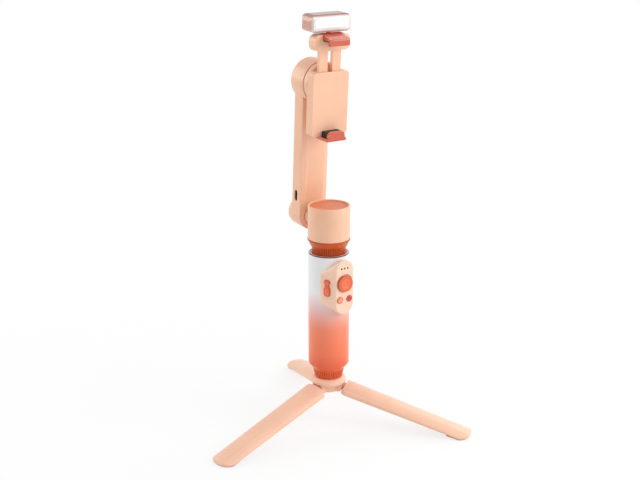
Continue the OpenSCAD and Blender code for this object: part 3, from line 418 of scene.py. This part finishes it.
def polished(name, shown, rough=0.12):
    """Glossy plastic with faint swirls left in the mould."""
    f = Finish(name, Coat_Weight=0.6, Coat_Roughness=0.05, IOR=1.5)
    f.shade(
        Base_Color=f.ramp(f.noise(0.01), [
            (0.25, mixed(shown, (0.3, 0.02, 0), 0.10)), (0.75, mixed(shown, (1, 0.8, 0.6), 0.08)),
        ]),
        Roughness=f.varied(f.noise(0.0025, detail=3.0), rough, rough + 0.08),
        Normal=f.bump(f.noise(0.0015), depth=0.000008, strength=0.5),
    )
    return f.material


def metal(name, shown, rough, stretch=(1, 1, 1)):
    """Bare metal with drawn or turned lines: noise squeezed across them and stretched along."""
    f = Finish(name, Metallic=1.0)
    lines = f.noise(0.0004, detail=4.0, stretch=stretch)
    f.shade(
        Base_Color=f.mottled(lines, shown, dark=0.08, light=0.06),
        Roughness=f.varied(lines, rough - 0.06, rough + 0.08),
        Normal=f.bump(lines, depth=0.000006, strength=0.5),
    )
    return f.material


def rubbery(name, shown):
    """Matt rubber with a fine pebbled face."""
    f = Finish(name, Specular_IOR_Level=0.35)
    pebble = f.add("ShaderNodeTexVoronoi", Vector=f.place, Scale=1 / 0.0009)
    f.shade(
        Base_Color=f.mottled(f.noise(0.006, detail=4.0), shown, dark=0.2, light=0.06),
        Roughness=f.varied(f.noise(0.002), 0.68, 0.85),
        Normal=f.bump(pebble.outputs["Distance"], depth=0.00006, strength=0.6),
    )
    return f.material


def grip_paint(colours, sizes):
    """Soft paint that fades up the handle from coral through lilac to white,
    with an airbrushed, slightly cloudy edge."""
    f = Finish("GripPaint", Coat_Weight=0.35, Coat_Roughness=0.22)
    share = f.spread(f.coordinates()["Z"], sizes.coral_to, sizes.white_from)
    cloud = f.spread(f.noise(0.02), 0.0, 1.0, to_low=-0.03, to_high=0.03)
    f.shade(
        Base_Color=f.ramp(f.scalar("ADD", share, cloud), [
            (0.0, mixed(colours.coral, colours.fade, 0.3)),
            (0.14, mixed(colours.coral, colours.fade, 0.8)),
            (0.31, colours.fade),
            (0.50, mixed(colours.fade, colours.lilac, 0.15)),
            (0.625, mixed(colours.fade, colours.lilac, 0.55)),
            (0.75, colours.lilac),
            (0.85, mixed(colours.lilac, colours.white, 0.45)),
            (1.0, colours.white),
        ]),
        Roughness=f.varied(f.noise(0.003), 0.34, 0.44),
        Normal=f.bump(f.noise(0.0004, detail=1.0), depth=0.000006, strength=0.5),
    )
    return f.material


def knurled(name, land, groove_shade, grooves, bottom, top, **shader):
    """Moulded plastic with a band of upright grooves between two heights. The turn about Z,
    times the number of grooves, gives a wave whose crests are sunk as grooves by bump and darkened
    with painted shade."""
    f = Finish(name, **shader)
    place = f.coordinates()
    turn = f.scalar("ARCTAN2", place["Y"], place["X"])
    wave = f.scalar("COSINE", f.scalar("MULTIPLY", turn, float(grooves)))
    crest = f.spread(wave, -0.25, 0.45)
    fade = 0.0003
    for edge, inner in ((bottom, bottom + fade), (top, top - fade)):
        crest = f.scalar("MULTIPLY", crest, f.spread(place["Z"], edge, inner))
    f.shade(
        # Painted shade: the colour darkens in the grooves.
        Base_Color=f.ramp(crest, [(0.0, land), (1.0, groove_shade)]),
        Roughness=f.varied(f.noise(0.0025, detail=3.0), 0.28, 0.38),
        Normal=f.bump(
            f.spread(crest, 0.0, 1.0, to_low=1.0, to_high=0.0), depth=0.0002, strength=0.5,
            normal=f.bump(f.noise(0.0008), depth=0.000008, strength=0.5),
        ),
    )
    return f.material


def flange_gloss(colours):
    """Glossy see-through plastic of the grip's flange. Across its radius, painted shadow darkens
    its inside under the cone, a painted highlight makes a pale ring near its rim, and a darker line
    runs along its edge."""
    f = Finish(
        "FlangeGloss", Coat_Weight=0.35, Coat_Roughness=0.04, Transmission_Weight=0.15, IOR=1.5,
    )
    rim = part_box("grip_collar")[1].x
    flat = f.vector("MULTIPLY", f.place, (1.0, 1.0, 0.0))
    share = f.spread(f.vector("LENGTH", flat, result="Value"), rim - 0.0020, rim - 0.0002)
    f.shade(
        # Painted light: the dark inside is painted shadow under the cone, and the cream ring is a
        # painted highlight.
        Base_Color=f.ramp(share, [
            (0.0, mixed(colours.glaze, (0.3, 0, 0), 0.3)),
            (0.3, colours.glaze),
            (0.6, (0.99, 0.84, 0.77)),
            (0.84, (1.0, 0.88, 0.80)),
            (0.95, (0.55, 0.27, 0.22)),
            (1.0, (0.34, 0.13, 0.1)),
        ]),
        Roughness=f.varied(f.noise(0.0025, detail=3.0), 0.08, 0.16),
        Normal=f.bump(f.noise(0.0015), depth=0.000006, strength=0.5),
    )
    return f.material


def opal(name, shown, middle, width, height):
    """Milky plastic that light soaks into, with a greyer clear rim. The rim is where the larger
    of |x| and |h| comes within 3.2 mm of the window's half width and half height, with x measured
    from its middle and h up its leaning face."""
    f = Finish(
        name, Subsurface_Weight=0.5, Subsurface_Scale=0.002, Coat_Weight=0.4, Coat_Roughness=0.08,
        Emission_Color=(1, 1, 1, 1),
    )
    rim = 0.0032
    share = f.scalar("MAXIMUM", *(
        f.spread(f.scalar("ABSOLUTE", f.away(middle, direction)), half - rim, half)
        for direction, half in (((1.0, 0.0, 0.0), width / 2), (LEAN_UP, height / 2))
    ))
    f.shade(
        Base_Color=f.ramp(share, [
            (0.0, shown),
            (0.4, (0.86, 0.87, 0.87)),
            (0.6, (0.93, 0.92, 0.92)),
            (0.85, (0.87, 0.85, 0.86)),
            (1.0, (0.80, 0.78, 0.79)),
        ]),
        # Painted glow: a faint emission brightens the window inside its rim, though it is lit by no
        # lamp.
        Emission_Strength=f.spread(share, 0.0, 0.4, to_low=0.25, to_high=0.0),
        Roughness=f.varied(f.noise(0.002), 0.2, 0.3),
        Normal=f.bump(f.noise(0.0006), depth=0.00001, strength=0.4),
    )
    return f.material


def light_body(colours):
    """Pinkish, slightly see-through shell. It pales towards the lens it surrounds, and painted
    shade darkens it along its top and its bottom."""
    low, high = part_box("light_housing")
    size, middle = high - low, (high + low) / 2
    tall = (size.z * math.cos(LEAN) - size.y * math.sin(LEAN)) / math.cos(2 * LEAN)
    f = Finish(
        "LightBody", Subsurface_Weight=0.05, Subsurface_Scale=0.002, Coat_Weight=0.5,
        Coat_Roughness=0.08,
    )
    shell = f.ramp(f.spread(f.coordinates()["Y"], low.y, low.y + 0.2 * size.y), [
        (0.0, mixed(colours.blush, WHITE, 0.62)),
        (0.5, mixed(colours.blush, WHITE, 0.2)),
        (1.0, colours.blush),
    ])
    # Painted shade: darker bands along the top and the bottom of the shell.
    edge = f.ramp(f.spread(f.away(middle, LEAN_UP), -tall / 2, tall / 2), [
        (0.0, (0.66, 0.50, 0.46)),
        (0.07, WHITE),
        (0.86, WHITE),
        (0.95, (0.84, 0.75, 0.72)),
        (0.985, (0.70, 0.64, 0.62)),
    ])
    f.shade(
        Base_Color=f.vector("MULTIPLY", shell, edge),
        Roughness=f.varied(f.noise(0.003), 0.2, 0.3),
        Normal=f.bump(f.noise(0.0005), depth=0.000008, strength=0.4),
    )
    return f.material


def circuit_board():
    """Green solder mask with a fine net of tracks in it."""
    f = Finish("SolderMask", Coat_Weight=0.5, Coat_Roughness=0.15)
    tracks = f.add(
        "ShaderNodeTexBrick", Vector=f.place, Scale=1 / 0.004, Color1=linear((0.16, 0.42, 0.27)),
        Color2=linear((0.13, 0.36, 0.24)), Mortar=linear((0.30, 0.52, 0.34)),
    )
    f.shade(
        Base_Color=tracks.outputs["Color"],
        Roughness=f.varied(f.noise(0.002), 0.35, 0.5),
    )
    return f.material


def dress(nodes, material, edge=0.0):
    """Gives CAD nodes their finish, and rounds their sharp edges to the radius edge if asked."""
    for name in nodes.split():
        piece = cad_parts[name]
        if not piece.material_slots:
            piece.data.materials.append(None)
        for slot in piece.material_slots:
            slot.material = material
        if edge:
            weld = piece.modifiers.new("Weld", "WELD")
            weld.merge_threshold = WELD_REACH
            bevel = piece.modifiers.new("Edges", "BEVEL")
            bevel.width = edge
            bevel.segments = EDGE_STEPS
            bevel.limit_method = "ANGLE"
            bevel.angle_limit = EDGE_ANGLE
            bevel.use_clamp_overlap = True
            bevel.harden_normals = True


class GIMBAL_OT_tripod(bpy.types.Operator):
    """Dresses the hub, the legs and their pads"""

    bl_idname = "gimbal.tripod"
    bl_label = "Tripod"

    def execute(self, context):
        c, s = context.scene.gimbal_colours, context.scene.gimbal_sizes
        shell = moulded("LegPlastic", mixed(c.peach, (1, 0.88, 0.86), 0.16), s.grain, rough=0.48)
        dress("leg_1 leg_2 leg_3", shell, s.leg_edge)
        dress("tripod_hub", shell, s.trim_edge)
        dress("foot_pad_1 foot_pad_2 foot_pad_3", rubbery("FootRubber", c.sole))
        dress("leg_pins", moulded("PinPlastic", mixed(c.peach, (0.9, 0.6, 0.5), 0.15), s.grain))
        dress("tripod_stud", metal("StudSteel", (0.76, 0.76, 0.78), rough=0.3, stretch=(1, 1, 20)))
        return {"FINISHED"}


def grip_skin(material):
    """Outer tube of the handle: a closed, eased profile turned about Z. A bevel 4.1 mm high leads
    from the collar to the round wall, and the floor that the inner tube stands on closes the
    bottom."""
    low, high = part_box("grip_tube")
    thick, bevel, floor_rise, hole, ease = 1.6, 4.1, 7.8, 8.55, 0.5
    wall, top, foot = high.x / MM, high.z / MM, low.z / MM + COLLAR_RISE
    bore, floor_at = wall - thick, low.z / MM + floor_rise
    profile = eased([
        (COLLAR_TOP_R, foot), (wall, foot + bevel), (wall, top), (bore, top),
        (bore, floor_at), (hole, floor_at), (hole, foot),
    ], ease)
    rings = circle_rings(profile * MM, points=128)
    piece = closed_skin("grip_skin", rings, "stand", material, loop=True)
    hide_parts("grip_tube")


def collar_knurls(material):
    """Base collar: a closed, eased profile turned about Z, which flares from 11.3 mm to 13.5 mm.
    Its outer wall is pushed in by 0.45 mm where the cosine of 44 turns is high, away from its two
    plain rims."""
    low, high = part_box("base_collar")
    foot, top = low.z / MM, high.z / MM + COLLAR_RISE
    sole, bore, hole = 1.4, 8.6, 3.5
    low_rim, high_rim, fade, depth = 0.7, 1.1, 0.3, 0.45
    start = np.array([COLLAR_FOOT_R, foot])
    end = np.array([COLLAR_TOP_R - 0.1, top])
    flank = start + np.linspace(0, 1, 14)[:, None] * (end - start)
    inside = [(bore, top), (bore, foot + sole), (hole, foot + sole), (hole, foot)]
    profile = eased(np.concatenate([flank, inside]), reach=0.25, steps=3)
    points_a_groove = 12
    points = COLLAR_GROOVES * points_a_groove
    rings = circle_rings(profile, points)
    pulse = np.clip((np.cos(COLLAR_GROOVES * around(points)) + 0.1) / 0.5, 0, 1)
    r, h = profile[:, 0], profile[:, 1]
    band = np.clip((h - foot - low_rim) / fade, 0, 1) * np.clip((top - high_rim - h) / fade, 0, 1)
    band *= r > COLLAR_FOOT_R - 0.3
    push = 1 - depth * band[:, None] * pulse / r[:, None]
    rings[..., :2] *= push[..., None]
    piece = closed_skin(
        "collar_knurls", rings * MM, "stand", material, loop=True)
    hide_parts("base_collar")


class GIMBAL_OT_handle(bpy.types.Operator):
    """Dresses the grip, its collars and the telescopic rod"""

    bl_idname = "gimbal.handle"
    bl_label = "Handle"

    def execute(self, context):
        c, s = context.scene.gimbal_colours, context.scene.gimbal_sizes
        grip_skin(grip_paint(c, s))
        low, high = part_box("base_collar")
        # The collar's grooves are darkened with painted shade.
        collar_knurls(knurled(
            "CollarPlastic", land=mixed(c.coral, (1, 0.6, 0.4), 0.25),
            groove_shade=mixed(c.coral, (0.5, 0.08, 0), 0.35), grooves=COLLAR_GROOVES,
            bottom=low.z + 0.0006, top=high.z + (COLLAR_RISE - 1.0) * MM))
        dress("grip_collar", flange_gloss(c))
        drawn = metal("DrawnTube", (0.80, 0.80, 0.82), rough=0.28, stretch=(1, 1, 0.02))
        dress("rod_tube_1 rod_tube_2 rod_tube_3 rod_tube_4 rod_sleeve", drawn)
        dress("base_insert", metal("InsertBrass", (0.80, 0.68, 0.45), rough=0.35))
        return {"FINISHED"}


def joystick_pad(material):
    """Thin pad in the joystick's dish. Its face follows the dish, d(r) = 12.9 - sqrt(12^2 - r^2)
    mm, raised by 0.3 mm, with a ring at r = 2.1 mm and a low knob inside it, and falls to the
    dish at r = 4.42 mm. Its back lies 0.05 mm under the dish."""
    low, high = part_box("joystick_cap")
    centre = (low + high) / 2
    rim, lift, sunk, dish_from = 4.42, 0.3, 0.05, 0.0018
    ball, ball_at, ring_at = 12, 12.9, 2.1
    r = np.concatenate([np.linspace(0.08, 4.3, 40), [rim]])
    dish = ball_at - np.sqrt(ball ** 2 - r ** 2)
    ring = 0.32 * np.exp(-(((r - ring_at) / 0.28) ** 2))
    knob = 0.18 * np.exp(-((r / 0.9) ** 2))
    face = dish + (lift + ring + knob) * np.clip((rim - r) / 0.3, 0, 1) ** 0.5
    base = (centre.x, low.y + dish_from, centre.z)
    rings = front_disc(r, face, dish - sunk, 64, base)
    closed_skin("joystick_pad", rings, "joystick", material)


def button_face(name, body, node, material, ring):
    """Round inlay on a button, 1.75 mm in radius. Inside its eased rim it is a dome that stands
    0.05 + 0.16 cos(pi r / 3.5) mm off the button, or a disc 0.08 mm off it with a raised ring at
    r = 1.05 mm."""
    low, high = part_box(node)
    centre = (low + high) / 2
    radius, ring_at, sunk = 1.75, 1.05, 0.1
    r = np.linspace(0.05, radius, 28)
    rim = np.clip((radius - r) / 0.2, 0, 1) ** 0.5
    if ring:
        face = (0.08 + 0.12 * np.exp(-(((r - ring_at) / 0.18) ** 2))) * rim
    else:
        face = (0.05 + 0.16 * np.cos(np.pi / 2 * r / radius)) * rim
    rings = front_disc(r, face, np.full_like(r, -sunk), 40, (centre.x, low.y, centre.z))
    closed_skin(name, rings, body, material)


def rocker_pad(name, rise, half_width, half_height, material):
    """Soft pad on one lobe of the zoom rocker, in millimetres. At a share p of the way out, the
    ellipse p (a cos t, b sin t) stands (0.05 + 0.28 cos(pi p / 2)) (1 - p^12) off the rocker's
    face, and its back lies 0.1 under it."""
    low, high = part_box("zoom_rocker")
    out = np.array([-math.cos(FLANK), -math.sin(FLANK), 0])
    side = np.array([math.sin(FLANK), -math.cos(FLANK), 0])
    base = np.array([*ROCKER_FACE, (low.z + high.z) / 2 / MM + rise])
    t = around(40)
    inmost, sunk = 0.03, 0.1
    front = np.linspace(inmost, 1, 22)
    back = np.linspace(1, inmost, 4)
    p = np.concatenate([front, back])[:, None]
    face = (0.05 + 0.28 * np.cos(np.pi / 2 * front)) * (1 - front ** 12)
    stand = np.concatenate([face, np.full_like(back, -sunk)])[:, None]
    rings = np.stack([
        p * half_width * np.cos(t), p * half_height * np.sin(t), stand + 0 * t,
    ], axis=-1)
    rings = placed(rings[::-1], base, side, (0, 0, 1), out) * MM
    closed_skin(name, rings, "zoom_rocker", material)


class GIMBAL_OT_controls(bpy.types.Operator):
    """Dresses the control pod, and adds the pads on its joystick, buttons and zoom rocker"""

    bl_idname = "gimbal.controls"
    bl_label = "Controls"

    def execute(self, context):
        c, s = context.scene.gimbal_colours, context.scene.gimbal_sizes
        # Painted highlight: the pod's peach is paled towards white, a lit copy of the shell colour.
        shell = moulded("PodHighlightPlastic", mixed(c.peach, (1, 0.93, 0.88), 0.35), s.grain, rough=0.45)
        key = moulded("KeyPlastic", mixed(c.coral, (1, 0.55, 0.35), 0.15), s.grain, rough=0.4)
        pad = moulded("KeyPad", mixed(c.coral, (1, 0.62, 0.42), 0.4), s.grain, rough=0.5)
        dress("control_pod", shell)
        dress("joystick_cap zoom_rocker", key, s.trim_edge)
        dress("mode_button", key)
        dress("record_button", polished("RecordKey", c.red))
        dress("status_lights", polished("StatusWindow", (0.16, 0.12, 0.12)))
        dress("control_board", circuit_board())
        # Painted shade: the ring round the joystick is darkened to stand in for shade in its deep
        # gap.
        dress("joystick_ring",
              moulded("RingShadedPlastic", mixed(c.coral, (0.45, 0.12, 0.05), 0.35), s.grain))
        dress("rocker_pin", metal("PinSteel", (0.72, 0.72, 0.74), rough=0.35))
        joystick_pad(pad)
        rocker_pad("zoom_in_pad", rise=4.4, half_width=1.6, half_height=1.5, material=pad)
        rocker_pad("zoom_out_pad", rise=-3.3, half_width=1.85, half_height=2.9, material=pad)
        button_face("mode_face", "mode_button", "mode_button",
                    moulded("ModeFace", mixed(c.coral, (1, 0.85, 0.78), 0.55), s.grain), ring=False)
        button_face("record_face", "record_button", "record_button",
                    polished("RecordFace", mixed(c.red, (0.4, 0, 0), 0.3)), ring=True)
        return {"FINISHED"}


class GIMBAL_OT_pan_motor(bpy.types.Operator):
    """Dresses the pan motor and what is in it"""

    bl_idname = "gimbal.pan_motor"
    bl_label = "Pan motor"

    def execute(self, context):
        c, s = context.scene.gimbal_colours, context.scene.gimbal_sizes
        dress("pan_housing", moulded("MotorPlastic", c.peach, s.grain), s.shell_edge)
        dress("pan_cap", moulded("CapPlastic", c.cap, s.grain, rough=0.5))
        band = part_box("pan_base")[1].z - 0.0079
        # The grooves in the cone's band are darkened with painted shade.
        dress("pan_base", knurled(
            "ConeGloss", land=c.ember, groove_shade=mixed(c.ember, (0.25, 0.02, 0), 0.5),
            grooves=CONE_GROOVES, bottom=band - 0.0029, top=band + 0.0032,
            Specular_IOR_Level=0.25, Coat_Weight=0.12, Coat_Roughness=0.12))
        dress("pan_shaft pan_bearings fold_shaft",
              metal("ShaftSteel", (0.78, 0.78, 0.8), rough=0.22))
        dress("pan_stator", metal("CoreSteel", (0.45, 0.44, 0.44), rough=0.45, stretch=(1, 1, 30)))
        dress("pan_magnets", metal("MagnetNickel", (0.62, 0.61, 0.60), rough=0.3))
        return {"FINISHED"}


class GIMBAL_OT_arm(bpy.types.Operator):
    """Dresses the arm, its knuckle, the roll motor and what is in them"""

    bl_idname = "gimbal.arm"
    bl_label = "Arm"

    def execute(self, context):
        c, s = context.scene.gimbal_colours, context.scene.gimbal_sizes
        # Painted shade: the knuckle's cap is a darker, oranger peach that stands in for shade and
        # light thrown back between it and the pan motor.
        knuckle = moulded("KnuckleShadedPlastic", mixed(c.peach, (0.9, 0.6, 0.5), 0.08), s.grain)
        dress("arm_shell arm_cover", moulded("ArmPlastic", c.peach, s.grain), s.trim_edge)
        dress("fold_cap", knuckle, s.trim_edge)
        dress("roll_rotor", moulded("RotorPlastic", c.peach, s.grain), s.trim_edge)
        dress("fold_bush", metal("BushBronze", (0.76, 0.62, 0.42), rough=0.4))
        dress("charging_port", metal("PortSteel", (0.44, 0.25, 0.2), rough=0.35))
        dress("roll_shaft roll_bearings", metal("RollSteel", (0.78, 0.78, 0.8), rough=0.22))
        dress("roll_stator", metal("RollCore", (0.45, 0.44, 0.44), rough=0.45, stretch=(1, 30, 1)))
        dress("roll_magnets", metal("RollNickel", (0.62, 0.61, 0.60), rough=0.3))
        dress("main_board", circuit_board())
        dress("battery", polished("CellWrap", (0.2, 0.2, 0.24), rough=0.3))
        return {"FINISHED"}


def coil_spring(material):
    """Spring of the clamp: a round wire along the helix r (cos a, sin a) + h, whose height h
    grows evenly with a over nine turns. It is left where it is made and does not follow the jaw or
    the carrier."""
    low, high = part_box("clamp_spring")
    middle = np.array((low + high) / 2)
    r, wire, tall, beyond = 0.0013, 0.00025, 0.0266, 0.003
    turns, steps_a_turn = 9, 24
    a = np.linspace(0, 2 * np.pi * turns, turns * steps_a_turn + 1)[:, None]
    b = around(8)
    reach = r + wire * np.cos(b)
    rise = (a / a[-1, 0] - 0.5) * tall - wire * np.sin(b)
    rings = np.stack([reach * np.cos(a), reach * np.sin(a), rise], axis=-1)
    ends = [tuple(middle + LEAN_UP * way * (tall / 2 + beyond)) for way in (-1, 1)]
    piece = closed_skin("coil_spring", placed(rings, middle, (1, 0, 0), -LEAN_OUT, LEAN_UP),
                        ("upper_jaw", "clamp", *ends), material)
    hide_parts("clamp_spring")


class GIMBAL_OT_clamp(bpy.types.Operator):
    """Dresses the clamp, its jaws and its spring"""

    bl_idname = "gimbal.clamp"
    bl_label = "Clamp"

    def execute(self, context):
        c, s = context.scene.gimbal_colours, context.scene.gimbal_sizes
        jaw = moulded("JawPlastic", mixed(c.coral, (0.72, 0.22, 0.02), 0.6), s.grain, coat=0.8)
        dress("clamp_back jaw_carrier", moulded("ClampPlastic", c.peach, s.grain), s.shell_edge)
        dress("lower_jaw upper_jaw", jaw, s.jaw_edge)
        dress("lower_pad upper_pad", rubbery("JawRubber", c.rubber))
        coil_spring(metal("SpringSteel", (0.7, 0.7, 0.72), rough=0.25))
        return {"FINISHED"}


def light_lens():
    """Milky window of the fill light: a rounded rectangle whose face is crowned by 0.5 mm.
    At a share p of the way out the outline is scaled by p and the face stands at
    0.5 (1 - p^4) mm."""
    low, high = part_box("light_diffuser")
    centre = (low + high) / 2
    thick, corner, crown = 0.0022, 0.0034, 0.0005
    width = high.x - low.x
    height = (high.z - low.z - thick * math.sin(LEAN)) / math.cos(LEAN)
    outline = rounded_outline(width, height, corner, points=120)
    inmost = 0.02
    front = np.linspace(inmost, 1, 26)
    back = np.linspace(1, inmost, 6)
    share = np.concatenate([front, back])[:, None]
    stand = np.concatenate([crown * (1 - front ** 4), np.full_like(back, -thick)])[:, None]
    rings = np.stack([
        share * outline[:, 0], share * outline[:, 1], stand + 0 * outline[:, 0],
    ], axis=-1)
    face = np.array(centre) + LEAN_OUT * thick / 2
    material = opal("Opal", (0.97, 0.97, 0.975), centre, width, height)
    piece = closed_skin("light_lens", placed(rings[::-1], face, (1, 0, 0), LEAN_UP, LEAN_OUT),
                        "light", material)
    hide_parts("light_diffuser")


class GIMBAL_OT_light(bpy.types.Operator):
    """Dresses the fill light"""

    bl_idname = "gimbal.light"
    bl_label = "Fill light"

    def execute(self, context):
        dress("light_housing", light_body(context.scene.gimbal_colours))
        light_lens()
        dress("light_foot", metal("FootSteel", (0.76, 0.76, 0.78), rough=0.28))
        dress("light_board", circuit_board())
        return {"FINISHED"}


class GIMBAL_OT_studio(bpy.types.Operator):
    """Builds the pale floor, the lamps, the sky and the camera"""

    bl_idname = "gimbal.studio"
    bl_label = "Studio"

    def execute(self, context):
        studio = context.scene.gimbal_studio
        floor()
        sky(studio.sky)
        lamp("KeyLamp", studio.key, turn=40, rise=22, away=1.3, size=0.8)
        lamp("RimLamp", studio.rim, turn=105, rise=22, away=1.3, size=0.8)
        lamp("FillLamp", studio.fill, turn=-140, rise=22, away=1.3, size=0.8)
        lamp("TopLamp", studio.top, turn=20, rise=75, away=1.4, size=1.0)
        camera(studio.focal)
        context.scene.view_settings.view_transform = "Standard"
        return {"FINISHED"}


def floor():
    """A round floor 3 m in radius, 0.2 mm under the feet. Its pale face turns into plain white
    light with distance, so that no horizon shows."""
    radius, sides, sunk = 3, 96, 0.0002
    t = around(sides)
    points = np.stack([radius * np.cos(t), radius * np.sin(t), np.full_like(t, -sunk)], axis=-1)
    mesh = bpy.data.meshes.new("floor")
    mesh.from_pydata(points.tolist(), [], [list(range(sides))])
    mesh.update()
    piece = linked("floor", mesh)
    f = Finish("FloorPaper", Roughness=0.9)
    f.shade(Base_Color=f.ramp(f.noise(0.4, detail=3.0), [
        (0.3, (0.93, 0.93, 0.93)), (0.7, (0.96, 0.96, 0.96)),
    ]))
    far = f.spread(f.vector("LENGTH", f.place, result="Value"), 0.1, 0.6, to_low=0.78)
    glow = f.add("ShaderNodeEmission", Color=(1, 1, 1, 1), Strength=1.0)
    mix = f.add("ShaderNodeMixShader", Fac=f.scalar("MULTIPLY", far, f.seen_directly()))
    f.feed(mix.inputs[1], f.shader.outputs["BSDF"])
    f.feed(mix.inputs[2], glow.outputs["Emission"])
    f.wire(f.tree.nodes["Material Output"], Surface=mix.outputs["Shader"])
    mesh.materials.append(f.material)


def sky(strength):
    """White where it is seen, and an even soft light elsewhere."""
    world = bpy.data.worlds.new("StudioSky")
    bpy.context.scene.world = world
    world.use_nodes = True
    w = Wiring(world.node_tree)
    seen = w.spread(w.seen_directly(), 0.0, 1.0, to_low=strength)
    w.wire(w.tree.nodes["Background"], Color=(1, 1, 1, 1), Strength=seen)


def outward(turn, rise):
    """The direction at a turn from the clamp's front, to the right, and a rise, in degrees."""
    turn, rise = math.radians(turn), math.radians(rise)
    return np.array([
        math.sin(turn) * math.cos(rise), -math.cos(turn) * math.cos(rise), math.sin(rise),
    ])


def looking(place, back):
    """A matrix at a place whose local Z axis points along back and whose X axis is level."""
    back = np.array(back, float) / np.linalg.norm(back)
    right = np.cross((0, 0, 1), back)
    right /= np.linalg.norm(right)
    up = np.cross(back, right)
    matrix = np.eye(4)
    matrix[:3, 0], matrix[:3, 1], matrix[:3, 2], matrix[:3, 3] = right, up, back, place
    return Matrix(matrix.tolist())


def lamp(name, power, turn, rise, away, size):
    """A square lamp that looks at the gimbal's middle from a turn, a rise and a distance."""
    data = bpy.data.lights.new(name, "AREA")
    data.energy = power
    data.size = size
    back = outward(turn, rise)
    linked(name, data).matrix_world = looking(np.array([0, 0, LAMPS_AIM]) + away * back, back)


def camera(focal):
    """Stands 0.95 m from the gimbal's middle, 33.7 degrees to the left of the clamp's front,
    and looks down by 17.9 degrees."""
    data = bpy.data.cameras.new("Camera")
    data.sensor_width = CAMERA_SENSOR
    data.lens = focal
    data.shift_y = CAMERA_SHIFT
    data.clip_start, data.clip_end = 0.05, 20.0
    seen = linked("Camera", data)
    seen.matrix_world = looking(CAMERA_AT, outward(CAMERA_TURN, CAMERA_TILT))
    bpy.context.scene.camera = seen


class GIMBAL_PT_panel(bpy.types.Panel):
    """Lists the gimbal's groups, colours, sizes and studio"""

    bl_label = "Folding gimbal"
    bl_space_type = "VIEW_3D"
    bl_region_type = "UI"
    bl_category = "Gimbal"

    def draw(self, context):
        for group in OPERATORS:
            self.layout.operator(group.bl_idname)
        for holder in GROUPS:
            values = getattr(context.scene, holder)
            box = self.layout.box()
            for name in values.bl_rna.properties.keys():
                if name not in ("rna_type", "name"):
                    box.prop(values, name)


OPERATORS = (
    GIMBAL_OT_tripod, GIMBAL_OT_handle, GIMBAL_OT_controls, GIMBAL_OT_pan_motor,
    GIMBAL_OT_arm, GIMBAL_OT_clamp, GIMBAL_OT_light, GIMBAL_OT_studio,
)
GROUPS = {
    "gimbal_colours": GimbalColours, "gimbal_sizes": GimbalSizes, "gimbal_studio": GimbalStudio,
}


def register():
    for kind in (*GROUPS.values(), *OPERATORS, GIMBAL_PT_panel):
        bpy.utils.register_class(kind)
    for name, kind in GROUPS.items():
        setattr(bpy.types.Scene, name, bpy.props.PointerProperty(type=kind))


def unregister():
    for name in GROUPS:
        delattr(bpy.types.Scene, name)
    for kind in reversed((*GROUPS.values(), *OPERATORS, GIMBAL_PT_panel)):
        bpy.utils.unregister_class(kind)


def main():
    register()
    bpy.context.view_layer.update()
    bpy.ops.gimbal.tripod()
    bpy.ops.gimbal.handle()
    bpy.ops.gimbal.controls()
    bpy.ops.gimbal.pan_motor()
    bpy.ops.gimbal.arm()
    bpy.ops.gimbal.clamp()
    bpy.ops.gimbal.light()
    bpy.ops.gimbal.studio()


if __name__ == "__main__":
    main()
